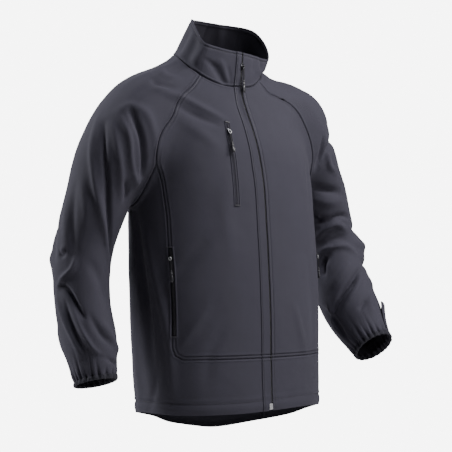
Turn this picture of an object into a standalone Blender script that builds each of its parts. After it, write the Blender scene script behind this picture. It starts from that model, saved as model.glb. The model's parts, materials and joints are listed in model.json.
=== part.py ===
"""A raglan softshell jacket, filled out as on a wearer: zip front, stand collar, gathered cuffs.

Every cloth piece is a wall of the shell fabric on one smooth worn form. The form is a torso and two
sleeve tubes, each described by a short table of cross sections and blended where they meet. A piece is
cut out of it between seam curves, so two neighbours share each seam and stand a stitch line apart.
Metres, +Z up, front towards -Y. The origin is the middle of the neck opening, level with its sides.
"""
import math

import bmesh
import bpy
import numpy as np
from mathutils import Matrix

NAME = "softshell_jacket"

# cloth and seams
CLOTH = 0.0016
COLLAR_CLOTH = 0.0026
SEAM_GAP = 0.0003

# front zip and its strips
ZIP_SLOT = 0.0060
ZIP_TAPE_WIDTH = 0.0240
ZIP_TAPE = 0.0008
COIL_WIDTH = 0.0048
PLACKET_WIDTH = 0.0215
PLACKET_TOP_WIDTH = 0.0130
PLACKET_CLOTH = 0.0014

# torso sections: height, front y, back y, half width, squareness
TORSO = (
    (-0.820, -0.158, 0.125, 0.198, 2.3),
    (-0.700, -0.157, 0.139, 0.202, 2.3),
    (-0.580, -0.153, 0.150, 0.205, 2.3),
    (-0.460, -0.147, 0.155, 0.206, 2.3),
    (-0.340, -0.137, 0.158, 0.205, 2.3),
    (-0.260, -0.128, 0.158, 0.202, 2.3),
    (-0.200, -0.116, 0.157, 0.196, 2.3),
    (-0.140, -0.094, 0.153, 0.180, 2.2),
    (-0.090, -0.070, 0.144, 0.153, 2.1),
    (-0.050, -0.050, 0.130, 0.122, 2.0),
    (-0.010, -0.036, 0.112, 0.092, 2.0),
    (0.020, -0.026, 0.095, 0.072, 2.0),
)

# sleeve stations: x outward, y, z, half width across the arm, half depth front to back
SLEEVES = {
    "right": (
        (0.010, 0.045, -0.070, 0.060, 0.070),
        (0.100, 0.045, -0.082, 0.062, 0.080),
        (0.182, 0.042, -0.121, 0.073, 0.086),
        (0.236, 0.044, -0.195, 0.076, 0.086),
        (0.276, 0.060, -0.300, 0.064, 0.071),
        (0.302, 0.076, -0.410, 0.058, 0.066),
        (0.311, 0.060, -0.500, 0.054, 0.060),
        (0.313, 0.029, -0.590, 0.052, 0.058),
        (0.313, 0.006, -0.662, 0.037, 0.044),
    ),
    "left": (
        (0.010, 0.045, -0.078, 0.058, 0.070),
        (0.100, 0.045, -0.099, 0.060, 0.080),
        (0.182, 0.042, -0.119, 0.072, 0.086),
        (0.238, 0.044, -0.188, 0.066, 0.084),
        (0.290, 0.050, -0.300, 0.064, 0.074),
        (0.323, 0.050, -0.400, 0.061, 0.068),
        (0.329, 0.014, -0.482, 0.060, 0.066),
        (0.328, -0.037, -0.551, 0.056, 0.061),
        (0.329, -0.093, -0.612, 0.038, 0.044),
    ),
}
SIDES = {"right": -1, "left": 1}
SLEEVE_SAMPLES = 120

# how softly the sleeves run into the body, at the armpit and at the shoulder
ARMPIT_BLEND, SHOULDER_BLEND = 0.012, 0.057
ARMPIT_LEVEL, SHOULDER_LEVEL = -0.34, -0.22

# above the chest the cutting grid fans up over the shoulders, almost to the vertical
CHEST = -0.25
STEEPEST = math.radians(84)

# distance of the front from the middle of the torso, and of a pocket from it, for turning widths to angles
FRONT_RADIUS = 0.140
POCKET_RADIUS = 0.150


def curve(knots, values, at):
    """Smooth curve through a table: cubic, each knot's slope taken from its neighbours."""
    knots, values = np.asarray(knots, float), np.asarray(values, float)
    at = np.clip(at, knots[0], knots[-1])
    slopes = np.gradient(values, knots, axis=0)
    i = np.clip(np.searchsorted(knots, at, side="right") - 1, 0, len(knots) - 2)
    gap = knots[i + 1] - knots[i]
    t = (at - knots[i]) / gap
    if values.ndim > 1:
        gap, t = gap[..., None], t[..., None]
    start = values[i] * (1 + 2 * t) + slopes[i] * gap * t
    end = values[i + 1] * (3 - 2 * t) - slopes[i + 1] * gap * (1 - t)
    return start * (1 - t) ** 2 + end * t * t


def smoothstep(low, high, x):
    t = np.clip((x - low) / (high - low), 0, 1)
    return t * t * (3 - 2 * t)


def unit(v):
    return v / np.maximum(np.linalg.norm(v, axis=-1, keepdims=True), 1e-12)


def torso_section(angle, z):
    """Radius of the torso at an angle from the front, and the y of its middle."""
    table = np.array(TORSO)
    front, back, half, square = curve(table[:, 0], table[:, 1:], z).T
    depth = (back - front) / 2
    across, along = np.abs(np.sin(angle)) / half, np.abs(np.cos(angle)) / depth
    return (across ** square + along ** square) ** (-1 / square), (front + back) / 2


def torso_field(p):
    """Distance outside the torso, roughly, with its soft folds."""
    _, middle = torso_section(np.zeros(len(p)), p[:, 2])
    x, y = p[:, 0], p[:, 1] - middle
    angle = np.arctan2(x, -y)
    radius, _ = torso_section(angle, p[:, 2])
    return np.hypot(x, y) - radius - folds(TORSO_FOLDS, angle * 0.17, p[:, 2])


def folds(table, across, along):
    """Height of the folds at points of the unrolled cloth: each is a rounded ridge or trough."""
    height = np.zeros(len(across))
    for x0, y0, x1, y1, width, rise in table:
        dx, dy = x1 - x0, y1 - y0
        length = dx * dx + dy * dy
        t = np.clip(((across - x0) * dx + (along - y0) * dy) / length, 0, 1)
        away = np.hypot(across - x0 - t * dx, along - y0 - t * dy) / width
        taper = 0.35 + 0.65 * np.sin(math.pi * np.clip(t, 0.0, 1.0)) ** 0.7
        height += rise * taper * np.exp(-away * away)
    return height


class Sleeve:
    """One sleeve tube: its centre line, the directions across it and its oval sections."""

    def __init__(self, name):
        table = np.array(SLEEVES[name], float)
        self.side = SIDES[name]
        self.folds = SLEEVE_FOLDS[name]
        table[:, 0] *= self.side
        steps = np.linalg.norm(np.diff(table[:, :3], axis=0), axis=1)
        knots = np.concatenate([[0], np.cumsum(steps)])
        self.length = knots[-1]
        self.along = np.linspace(0, self.length, SLEEVE_SAMPLES + 1)
        self.line = curve(knots, table[:, :3], self.along)
        self.size = curve(knots, table[:, 3:], self.along)
        self.tangent = unit(np.gradient(self.line, self.along, axis=0))
        forward = np.array([0.0, -1.0, 0.0])
        self.front = unit(forward + self.tangent * self.tangent[:, 1:2])
        self.out = np.cross(self.tangent, self.front) * -self.side

    def at(self, s, table):
        x = np.clip(s / self.length, 0, 1) * SLEEVE_SAMPLES
        i = np.clip(x.astype(int), 0, SLEEVE_SAMPLES - 1)
        return table[i] + (table[i + 1] - table[i]) * (x - i)[:, None]

    def coordinates(self, p):
        """Length along the sleeve, angle (0 outer, 90 front, 180 under, -90 back) and distance."""
        nearest = np.empty(len(p), int)
        for k in range(0, len(p), 20000):
            q = p[k:k + 20000]
            apart = (self.line ** 2).sum(1)[None] - 2 * q @ self.line.T
            nearest[k:k + 20000] = apart.argmin(1)
        s = self.along[nearest] + ((p - self.line[nearest]) * self.tangent[nearest]).sum(1)
        off = p - self.at(s, self.line)
        front = (off * self.at(s, self.front)).sum(1)
        out = (off * self.at(s, self.out)).sum(1)
        return s, np.arctan2(front, out), np.linalg.norm(off, axis=1)

    def field(self, p):
        """Distance outside the sleeve, roughly, with its folds."""
        s, angle, distance = self.coordinates(p)
        size = self.at(s, self.size)
        radius = 1 / np.hypot(np.cos(angle) / size[:, 0], np.sin(angle) / size[:, 1])
        return distance - radius - folds(self.folds, angle * 0.06, s)

    def surface(self, s, angle):
        """Points of the cloth at lengths and angles of this sleeve."""
        out, front = self.at(s, self.out), self.at(s, self.front)
        direction = np.cos(angle)[:, None] * out + np.sin(angle)[:, None] * front
        return leave(self.at(s, self.line), direction, 0.16)


def field(p):
    """Distance outside the whole worn form: torso and sleeves, blended where they meet."""
    value = torso_field(p)
    softness = smoothstep(ARMPIT_LEVEL, SHOULDER_LEVEL, p[:, 2])
    blend = ARMPIT_BLEND + (SHOULDER_BLEND - ARMPIT_BLEND) * softness
    for sleeve in SLEEVE.values():
        other = sleeve.field(p)
        mix = np.clip(0.5 + 0.5 * (other - value) / blend, 0, 1)
        value = other * (1 - mix) + value * mix - blend * mix * (1 - mix)
    return value


def leave(origin, direction, reach):
    """First point where each ray from inside leaves the form."""
    near = np.full(len(origin), 0.01)
    far = np.full(len(origin), reach)
    walking = np.ones(len(origin), bool)
    position = near.copy()
    for _ in range(48):
        k = np.flatnonzero(walking)
        if not len(k):
            break
        value = field(origin[k] + direction[k] * position[k][:, None])
        inside = (value < 0) & (position[k] < reach)
        near[k[inside]] = position[k[inside]]
        far[k[~inside]] = position[k[~inside]]
        walking[k[~inside]] = False
        position[k[inside]] += np.maximum(-0.6 * value[inside], 0.0015)
    for _ in range(12):
        middle = (near + far) / 2
        outside = field(origin + direction * middle[:, None]) > 0
        far, near = np.where(outside, middle, far), np.where(outside, near, middle)
    return origin + direction * ((near + far) / 2)[:, None]


def torso_surface(angle, h):
    """Points of the cloth at an angle from the front and a height of the cutting grid."""
    up = np.clip((h - CHEST) / -CHEST, 0, None) * STEEPEST
    z = np.minimum(h, CHEST)
    _, middle = torso_section(angle, z)
    origin = np.stack([0 * z, middle, z], 1)
    flat = np.cos(up)
    direction = np.stack([np.sin(angle) * flat, -np.cos(angle) * flat, np.sin(up)], 1)
    return leave(origin, direction, 0.42)


def normal(p):
    """Outward direction of the form at points of its surface."""
    step = 0.0006
    slope = np.zeros_like(p)
    for axis in range(3):
        shift = np.zeros(3)
        shift[axis] = step
        slope[:, axis] = field(p + shift) - field(p - shift)
    return unit(slope)


# folds of the torso: from (across, height) to (across, height), width, rise; across is angle x 0.17 m
TORSO_FOLDS = (
    (-0.245, -0.330, -0.225, -0.700, 0.020, -0.006),
    (-0.292, -0.380, -0.280, -0.720, 0.022, 0.006),
    (-0.190, -0.130, -0.110, -0.215, 0.018, 0.003),
    (-0.200, -0.175, -0.140, -0.250, 0.016, -0.003),
    (0.235, -0.330, 0.222, -0.650, 0.020, -0.005),
    (0.285, -0.400, 0.275, -0.700, 0.022, 0.005),
    (0.440, -0.300, 0.470, -0.680, 0.026, -0.005),
    (-0.450, -0.280, -0.470, -0.700, 0.026, -0.005),
)

# folds of the sleeves: from (across, length along) to (across, length along), width, rise;
# across is angle x 0.06 m, so 0 is the outer side, 0.094 the front and -0.094 the back
SLEEVE_FOLDS = {
    "right": (
        (0.085, 0.150, 0.118, 0.262, 0.014, -0.012),
        (0.105, 0.150, 0.128, 0.240, 0.012, 0.008),
        (0.070, 0.170, 0.092, 0.380, 0.016, -0.010),
        (0.040, 0.170, 0.050, 0.420, 0.022, 0.005),
        (0.060, 0.445, 0.110, 0.500, 0.014, -0.007),
        (0.040, 0.500, 0.110, 0.610, 0.016, 0.006),
        (-0.020, 0.430, 0.020, 0.480, 0.013, -0.006),
        (-0.060, 0.430, -0.110, 0.470, 0.014, -0.008),
        (-0.050, 0.500, -0.120, 0.560, 0.015, 0.006),
        (-0.100, 0.200, -0.080, 0.360, 0.018, -0.006),
    ),
    "left": (
        (0.040, 0.300, 0.110, 0.315, 0.013, -0.009),
        (0.030, 0.345, 0.105, 0.372, 0.015, 0.007),
        (0.020, 0.380, 0.120, 0.400, 0.013, -0.010),
        (0.010, 0.460, 0.115, 0.490, 0.014, -0.008),
        (0.020, 0.500, 0.110, 0.560, 0.015, 0.006),
        (-0.015, 0.430, -0.080, 0.470, 0.013, -0.007),
        (-0.030, 0.500, -0.110, 0.560, 0.015, 0.006),
        (-0.100, 0.200, -0.080, 0.360, 0.018, -0.006),
    ),
}
SLEEVE = {}
for sleeve_name in SLEEVES:
    SLEEVE[sleeve_name] = Sleeve(sleeve_name)

# seams as angle from the front in degrees and height of the cutting grid
NECK_SEAM = (
    (-180, -0.0480), (-128, -0.0460), (-96, -0.0490), (-83, -0.0550), (-61, -0.0620), (-34, -0.0570),
    (-16, -0.0530), (0, -0.0515), (16, -0.0515), (37, -0.0490), (61, -0.0510), (96, -0.0500),
    (128, -0.0460), (180, -0.0480),
)
RAGLAN_FRONT = {
    "right": ((61.0, -0.0620), (63.2, -0.0870), (66.8, -0.1130), (68.6, -0.1500), (71.7, -0.1830)),
    "left": ((39.0, -0.0490), (43.0, -0.0680), (54.0, -0.0860), (64.0, -0.1130), (69.5, -0.1600)),
}
RAGLAN_BACK = ((128.0, -0.0530), (126.0, -0.1000), (123.0, -0.1500), (120.0, -0.2000))
PRINCESS_TOP = {"right": 74.3, "left": 76.5}
SIDE_BACK_TOP = 116.0
PRINCESS = (
    (72.0, -0.2850), (70.2, -0.3300), (69.2, -0.3900), (68.3, -0.4500),
    (68.0, -0.5200), (68.2, -0.5700), (68.4, -0.5930),
)
BAND_CORNER = ((66.8, -0.6085), (62.6, -0.6160))
BAND_SEAM = -0.6160
ZIP_LEAN = (
    (-0.800, -0.0060), (-0.500, -0.0050), (-0.380, -0.0060), (-0.300, -0.0055), (-0.230, -0.0065),
    (-0.170, -0.0070), (-0.140, -0.0080), (-0.100, -0.0078), (-0.070, -0.0075), (-0.050, -0.0060), (0.0, -0.0040),
)
NECK_FRONT = -0.0515
ARMPIT_ROW = -0.215
COLLAR_TOP_LEAN = 0.001
LEAN_FADES = 60.0
SIDE_BACK = ((117.0, -0.3200), (118.0, -0.4200), (119.0, -0.5700), (119.0, -0.6160))

# hem: angle in degrees, negative on the wearer's right, and height
HEM = (
    (-180, -0.777), (-158, -0.765), (-143, -0.750), (-128, -0.740), (-105, -0.729), (-60, -0.726),
    (-30, -0.7245), (0, -0.7215), (55, -0.722), (75, -0.730), (87, -0.740), (100, -0.755), (125, -0.774),
    (155, -0.785), (180, -0.777),
)

# collar top edge: neck angle in degrees, then x, y and z of the edge
COLLAR_TOP = (
    (-180, 0.000, 0.060, 0.0765),
    (-140, -0.048, 0.048, 0.0780),
    (-115, -0.068, 0.026, 0.0755),
    (-92, -0.078, -0.004, 0.0540),
    (-70, -0.080, -0.034, 0.0230),
    (-45, -0.054, -0.048, 0.0125),
    (-20, -0.025, -0.056, 0.0065),
    (0, 0.000, -0.0595, 0.0035),
    (20, 0.030, -0.056, 0.0000),
    (42, 0.065, -0.043, -0.0050),
    (63, 0.091, -0.024, 0.0000),
    (85, 0.096, -0.004, 0.0310),
    (110, 0.087, 0.020, 0.0600),
    (140, 0.055, 0.052, 0.0720),
    (180, 0.000, 0.060, 0.0765),
)

# cells of the cutting grid
RAGLAN_ROWS, PRINCESS_ROWS, BAND_ROWS = 8, 12, 3
FRONT_COLUMNS, UNDERARM_COLUMNS, NECK_COLUMNS, BACK_COLUMNS = 10, 10, 5, 12
SLEEVE_ROWS, COLLAR_ROWS, CUFF_ROWS = 24, 5, 1

CUFF_BINDING = 0.0085
CUFF_CLOTH = 0.0022


def spaced(points, count):
    """Equally spaced points along a smooth curve through the given points."""
    points = np.array(points, float)
    scale = np.array([0.17 * math.pi / 180, 1.0])
    knots = np.concatenate([[0], np.cumsum(np.linalg.norm(np.diff(points * scale, axis=0), axis=1))])
    fine = curve(knots, points, np.linspace(0, knots[-1], 200))
    along = np.concatenate([[0], np.cumsum(np.linalg.norm(np.diff(fine * scale, axis=0), axis=1))])
    wanted = np.linspace(0, along[-1], count + 1)
    return np.stack([np.interp(wanted, along, fine[:, k]) for k in range(2)], 1)


def torso_points(seam, side):
    """Points in space of a seam given as angle in degrees and height."""
    return torso_surface(np.radians(seam[:, 0]) * SIDES[side], seam[:, 1])


def armhole(side, angles):
    """Height at each angle where the body turns into the sleeve, just below the fold there."""
    turned = np.radians(angles) * SIDES[side]
    low, high = np.full(len(angles), -0.42), np.full(len(angles), -0.15)
    for _ in range(16):
        middle = (low + high) / 2
        p = torso_surface(turned, middle)
        on_sleeve = torso_field(p) > SLEEVE[side].field(p)
        low, high = np.where(on_sleeve, low, middle), np.where(on_sleeve, middle, high)
    return low - 0.001


def height_round(table, angles, side):
    """Height of the neck seam or the hem at angles counted from the front towards one side."""
    table = np.array(table)
    signed = (angles * SIDES[side] + 180) % 360 - 180
    return curve(table[:, 0], table[:, 1], signed)


def neck_seam(angles, side):
    return np.stack([angles, height_round(NECK_SEAM, angles, side)], 1)


def coons(top, bottom, left, right):
    """Grid of coordinates between four edges; rows run from top to bottom."""
    rows, columns = len(left), len(top)
    v = np.linspace(0, 1, rows)[:, None, None]
    u = np.linspace(0, 1, columns)[None, :, None]
    across = left[:, None] * (1 - u) + right[:, None] * u
    down = top[None] * (1 - v) + bottom[None] * v
    corners = (top[0] * (1 - u) + top[-1] * u) * (1 - v) + (bottom[0] * (1 - u) + bottom[-1] * u) * v
    return across + down - corners


def cut_from_torso(grid, side=1):
    """Points of the torso cloth at a grid of angles in degrees and heights."""
    flat = grid.reshape(-1, 2)
    return torso_surface(np.radians(flat[:, 0]) * side, flat[:, 1]).reshape(*grid.shape[:2], 3)


def front_edge_angles(x, heights):
    """Angles in degrees at which the front of the torso has the given x."""
    angles = x / FRONT_RADIUS
    for _ in range(4):
        points = torso_surface(angles, heights)
        angles = angles + (x - points[:, 0]) / FRONT_RADIUS
    return np.degrees(angles)


def zip_x(heights):
    """The zip's sideways lean where the front pulls towards the wearer's right below the collar."""
    table = np.array(ZIP_LEAN)
    return curve(table[:, 0], table[:, 1], heights)


def body_seams(side):
    """All seams of one side of the body, as angles in degrees and heights."""
    armhole_angles = np.linspace(PRINCESS_TOP[side], SIDE_BACK_TOP, UNDERARM_COLUMNS + 1)
    under = np.stack([armhole_angles, armhole(side, armhole_angles)], 1)
    neck_ends = neck_seam(np.array([RAGLAN_FRONT[side][0][0], RAGLAN_BACK[0][0]]), side)
    raglan_front = np.vstack([neck_ends[:1], RAGLAN_FRONT[side][1:], under[:1]])
    raglan_front = spaced(raglan_front, RAGLAN_ROWS)
    raglan_back = spaced(np.vstack([under[-1:], RAGLAN_BACK[:0:-1], neck_ends[1:]]), RAGLAN_ROWS)
    princess = spaced((tuple(under[0]),) + PRINCESS, PRINCESS_ROWS - 1)
    princess = np.vstack([princess, BAND_CORNER[:1]])
    side_back = spaced((tuple(under[-1]),) + SIDE_BACK, PRINCESS_ROWS)
    front_heights = np.interp(
        np.arange(RAGLAN_ROWS + PRINCESS_ROWS + 1),
        (0, RAGLAN_ROWS, RAGLAN_ROWS + PRINCESS_ROWS), (NECK_FRONT, ARMPIT_ROW, BAND_SEAM))
    edge = zip_x(front_heights) + SIDES[side] * ZIP_SLOT / 2
    front_edge = np.stack([front_edge_angles(edge, front_heights) * SIDES[side], front_heights], 1)
    neck_angles = np.linspace(front_edge[0, 0], raglan_front[0, 0], FRONT_COLUMNS + 1)
    neck_front = neck_seam(neck_angles, side)
    neck_front[0], neck_front[-1] = front_edge[0], raglan_front[0]
    band_angles = np.linspace(BAND_CORNER[1][0], front_edge[-1, 0], FRONT_COLUMNS)
    band = np.vstack([BAND_CORNER[:1], np.stack([band_angles, 0 * band_angles + BAND_SEAM], 1)])
    band[-1] = front_edge[-1]
    return {
        "under": under, "raglan_front": raglan_front, "raglan_back": raglan_back,
        "princess": princess, "side_back": side_back, "front_edge": front_edge,
        "neck_front": neck_front, "band": band,
    }


def front_coordinates(seams):
    outer = np.vstack([seams["raglan_front"], seams["princess"][1:]])
    return coons(seams["neck_front"], seams["band"][::-1], seams["front_edge"], outer)


def down_to_hem(row, side):
    """Rows of the band below a row of coordinates, the last one on the hem."""
    hem = np.stack([row[:, 0], height_round(HEM, row[:, 0], side)], 1)
    v = np.linspace(0, 1, BAND_ROWS + 1)[1:, None, None]
    return row[None] * (1 - v) + hem[None] * v


def side_coordinates(seams, side):
    """The side panel with its band under the front: an L, with the cells that exist."""
    corner, back = seams["princess"][-1], seams["side_back"][-1]
    foot = np.linspace(corner, back, UNDERARM_COLUMNS + 1)
    panel = coons(seams["under"], foot, seams["princess"], seams["side_back"])
    band = np.repeat(seams["band"][::-1][None], PRINCESS_ROWS + 1, axis=0)
    upper = np.concatenate([band[:, :-1], panel], 1)
    grid = np.concatenate([upper, down_to_hem(upper[-1], side)])
    cells = np.ones((grid.shape[0] - 1, grid.shape[1] - 1), bool)
    cells[:PRINCESS_ROWS, :FRONT_COLUMNS] = False
    return grid, cells


def back_coordinates(right, left):
    """The back panel, counted on from the right side past 180 degrees to the left side."""
    edges = []
    for seams, side in ((right, "right"), (left, "left")):
        edge = np.vstack([seams["raglan_back"][::-1], seams["side_back"][1:]])
        edges.append(np.vstack([edge, down_to_hem(edge[-1:], side)[:, 0]]))
    edges[1] = edges[1] * (-1, 1) + (360, 0)
    top_angles = np.linspace(edges[0][0, 0], edges[1][0, 0], BACK_COLUMNS + 1)
    hem_angles = np.linspace(edges[0][-1, 0], edges[1][-1, 0], BACK_COLUMNS + 1)
    top = neck_seam(top_angles, "right")
    hem = np.stack([hem_angles, height_round(HEM, hem_angles, "right")], 1)
    return coons(top, hem, edges[0], edges[1])


def neck_arc(side):
    """Coordinates of the sleeve's own stretch of the neck seam, from back to front."""
    start, end = RAGLAN_BACK[0][0], RAGLAN_FRONT[side][0][0]
    return neck_seam(np.linspace(start, end, NECK_COLUMNS + 1), side)


def sleeve_points(side, seams):
    """Grid of the sleeve from its armhole loop to the cuff, each row a closed ring."""
    sleeve = SLEEVE[side]
    loop = np.vstack([
        seams["raglan_front"], seams["under"][1:], seams["raglan_back"][1:], neck_arc(side)[1:-1],
    ])
    top = torso_points(loop, side)
    s, angle, _ = sleeve.coordinates(top)
    angle = np.unwrap(angle)
    columns = len(loop)
    middle_of_neck = columns - NECK_COLUMNS / 2
    even = 2 * math.pi * (np.arange(columns) - middle_of_neck) / columns
    even += 2 * math.pi * np.round((angle - even).mean() / (2 * math.pi))
    v = np.linspace(0, 1, SLEEVE_ROWS + 1)[:, None]
    end = sleeve.length - CUFF_BINDING
    along = s * (1 - v) + end * v
    turn = smoothstep(0.0, 0.65, v)
    around = angle * (1 - turn) + even * turn
    points = sleeve.surface(along.ravel(), around.ravel()).reshape(SLEEVE_ROWS + 1, columns, 3)
    points[0] = top
    return points, even


def cuff_points(side, even):
    sleeve = SLEEVE[side]
    v = np.linspace(0, 1, CUFF_ROWS + 1)[:, None]
    along = sleeve.length - CUFF_BINDING * (1 - v) + 0 * even
    around = even + 0 * v
    points = sleeve.surface(along.ravel(), around.ravel())
    return points.reshape(CUFF_ROWS + 1, len(even), 3)


def collar_points(seams):
    """Grid of the collar from the neck seam up, from the right front edge round to the left."""
    halves = []
    for side in ("right", "left"):
        half = np.vstack([seams[side]["neck_front"], neck_arc(side)[::-1][1:]])
        halves.append(half * (SIDES[side], 1))
    back_angles = np.linspace(RAGLAN_BACK[0][0], 360 - RAGLAN_BACK[0][0], BACK_COLUMNS + 1)[1:-1]
    back = neck_seam(back_angles, "right") * (-1, 1)
    ring = np.vstack([halves[0], back, halves[1][::-1]])
    base = torso_surface(np.radians(ring[:, 0]), ring[:, 1])
    table = np.array(COLLAR_TOP)
    turned = (ring[:, 0] + 180) % 360 - 180
    lean = (turned[0] + turned[-1]) / 2
    turned = turned - lean * np.clip(1 - np.abs(turned) / LEAN_FADES, 0, 1)
    edge = curve(table[:, 0], table[:, 1:], turned)
    edge[[0, -1], 0] = COLLAR_TOP_LEAN - ZIP_SLOT / 2, COLLAR_TOP_LEAN + ZIP_SLOT / 2
    v = np.linspace(0, 1, COLLAR_ROWS + 1)[:, None, None]
    points = base * (1 - v) + edge * v
    normals = unit(np.cross(np.gradient(points, axis=0), np.gradient(points, axis=1)))
    normals[0] = normal(base)
    return points, normals


def surface_normals(points):
    return normal(points.reshape(-1, 3)).reshape(points.shape)


class Piece:
    """Sheet of the jacket: its grid of points, the outward directions there and its cells."""

    def __init__(self, points, normals=None, cells=None, ring=False):
        self.points = points
        self.normals = surface_normals(points) if normals is None else normals
        self.ring = ring
        rows, columns = points.shape[:2]
        self.cells = np.ones((rows - 1, columns - 1 + ring), bool) if cells is None else cells


def finish(name, bm, colour, roughness, metallic=0.0):
    """Turn a closed bmesh into the jacket's named solid with its own material."""
    bmesh.ops.recalc_face_normals(bm, faces=bm.faces)
    if bm.calc_volume(signed=True) < 0:
        bmesh.ops.reverse_faces(bm, faces=bm.faces)
    mesh = bpy.data.meshes.new(name)
    bm.to_mesh(mesh)
    bm.free()
    thing = bpy.data.objects.new(name, mesh)
    PARTS.objects.link(thing)
    material = bpy.data.materials.new(name)
    material.use_nodes = True
    shader = material.node_tree.nodes["Principled BSDF"]
    shader.inputs["Base Color"].default_value = (*colour, 1)
    shader.inputs["Roughness"].default_value = roughness
    shader.inputs["Metallic"].default_value = metallic
    mesh.materials.append(material)
    return thing


def wall(name, piece, thickness, lift=None, colour=(0.045, 0.043, 0.052), roughness=0.8):
    """Solid wall of a piece: its face is the piece's own, or stands the lift above it."""
    rows, columns = piece.points.shape[:2]
    bm = bmesh.new()
    sheet = [[bm.verts.new(p) for p in row] for row in piece.points]
    for i, j in np.argwhere(piece.cells):
        k = (j + 1) % columns
        a, b, c, d = sheet[i][j], sheet[i][k], sheet[i + 1][k], sheet[i + 1][j]
        if (a.co - c.co).length < (b.co - d.co).length:
            bm.faces.new((a, b, c))
            bm.faces.new((a, c, d))
        else:
            bm.faces.new((a, b, d))
            bm.faces.new((b, c, d))
    bm.verts.index_update()
    directions = piece.normals.reshape(-1, 3)
    for vert in bm.verts:
        vert.normal = directions[vert.index]
    unused = [vert for vert in bm.verts if not vert.link_faces]
    outward = {vert: vert.normal.copy() for vert in bm.verts}
    bmesh.ops.delete(bm, geom=unused, context="VERTS")
    step_back_edges(bm)
    low = -thickness if lift is None else lift
    high = 0.0 if lift is None else lift + thickness
    outer = list(bm.verts)
    inner = {vert: bm.verts.new(vert.co + outward[vert] * low) for vert in outer}
    edges = [edge for edge in bm.edges if edge.is_boundary]
    for face in list(bm.faces):
        bm.faces.new([inner[vert] for vert in reversed(face.verts)])
    for edge in edges:
        a, b = sorted(edge.verts, key=lambda vert: (round(vert.co.z, 4), vert.co.x))
        bm.faces.new((a, b, inner[b]))
        bm.faces.new((a, inner[b], inner[a]))
    for vert in outer:
        vert.co += outward[vert] * high
    return finish(name, bm, colour, roughness)


def step_back_edges(bm):
    """Draw the open edges of a sheet in by half a seam gap."""
    pulls = {}
    for edge in bm.edges:
        if edge.is_boundary:
            face = edge.link_faces[0]
            face.normal_update()
            along = (edge.verts[1].co - edge.verts[0].co).normalized()
            inward = face.normal.cross(along)
            if inward.dot(face.calc_center_median() - edge.verts[0].co) < 0:
                inward.negate()
            for vert in edge.verts:
                pulls.setdefault(vert, []).append(inward.normalized())
    for vert, directions in pulls.items():
        total = directions[0] + directions[-1]
        share = max(1 + directions[0].dot(directions[-1]), 0.4)
        vert.co += total * (SEAM_GAP / 2 / share)


def along_rows(piece_rows, x):
    """Points and directions at distances x from the zip, one on each row."""
    points, normals = [], []
    for (row, directions), at in zip(piece_rows, x):
        middle = row[0, 0] - math.copysign(ZIP_SLOT / 2, at)
        reach = np.abs(row[:, 0] - middle)
        points.append([middle + at] + [np.interp(abs(at), reach, row[:, k]) for k in (1, 2)])
        normals.append([np.interp(abs(at), reach, directions[:, k]) for k in range(3)])
    return np.array(points), unit(np.array(normals))


def rows_by_the_zip(front, band, collar, side):
    """Rows of cloth beside the zip, from the top of the collar to the hem."""
    count = FRONT_COLUMNS + 1
    rows = []
    for i in range(COLLAR_ROWS, 0, -1):
        near = slice(0, count) if side == "right" else slice(-1, -1 - count, -1)
        rows.append((collar.points[i, near], collar.normals[i, near]))
    rows += [(front.points[i], front.normals[i]) for i in range(front.points.shape[0])]
    for i in range(PRINCESS_ROWS + 1, band.points.shape[0]):
        rows.append((band.points[i, :count], band.normals[i, :count]))
    return rows


# what lies on a panel stands this far above it
LIFT = 0.0004
SLIDER_LIFT = 0.0006
MAIN_SLIDER_Z = -0.030
PLACKET_INSET = 0.0054

# pocket zips: the chest one's middle line as angle and height, the hand ones beside the side seam
POCKET_STRIP = 0.0012
CHEST_POCKET = ((30.8, -0.1260), (29.0, -0.1600), (26.4, -0.2150), (25.6, -0.2600), (25.4, -0.3130))
CHEST_WIDTH = 0.0130
HAND_POCKET_TOP, HAND_POCKET_BOTTOM, HAND_WIDTH = -0.3920, -0.5730, 0.0110
HAND_POCKET_TURN = -1.0
STRIP_ROWS = 8

# sliders: width, length, base height, height of the ears and where they stand
SLIDER_WIDTH, SLIDER_LENGTH, SLIDER_BASE, EAR_HEIGHT = 0.0084, 0.0105, 0.0026, 0.0026
EAR_OUTER, EAR_INNER, EAR_HALF_LENGTH = 0.0026, 0.0016, 0.0014
HINGE_HEIGHT = SLIDER_BASE + EAR_HEIGHT / 2 + 0.0001

# pull tab: distance below the hinge, half width, half thickness; a cord, then a moulded grip
PULL = (
    (-0.0010, 0.0008, 0.0006),
    (0.0000, 0.0012, 0.0010),
    (0.0030, 0.0011, 0.0009),
    (0.0300, 0.0011, 0.0009),
    (0.0325, 0.0024, 0.0016),
    (0.0440, 0.0030, 0.0019),
    (0.0530, 0.0034, 0.0019),
    (0.0555, 0.0026, 0.0013),
    (0.0562, 0.0012, 0.0006),
)
PULL_SIDES = 8
PULL_CLEARANCE = 0.0026
PULL_LOOKS_BEYOND = 0.026
POCKET_PULL_SCALE = 0.86

RETAINER_WIDTH, RETAINER_LENGTH, RETAINER_HEIGHT = 0.0078, 0.0120, 0.0034
RETAINER_ABOVE_HEM = 0.0085

# tab sewn on the left sleeve: angles and lengths from the cuff of its middle line, and its size
CUFF_TAB = (46.0, 0.079, 48.0, 0.016)
TAB_WIDTH, TAB_CLOTH, TAB_LIFTED = 0.0240, 0.0016, 0.0070
CUFF_RADIUS = 0.050


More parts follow.
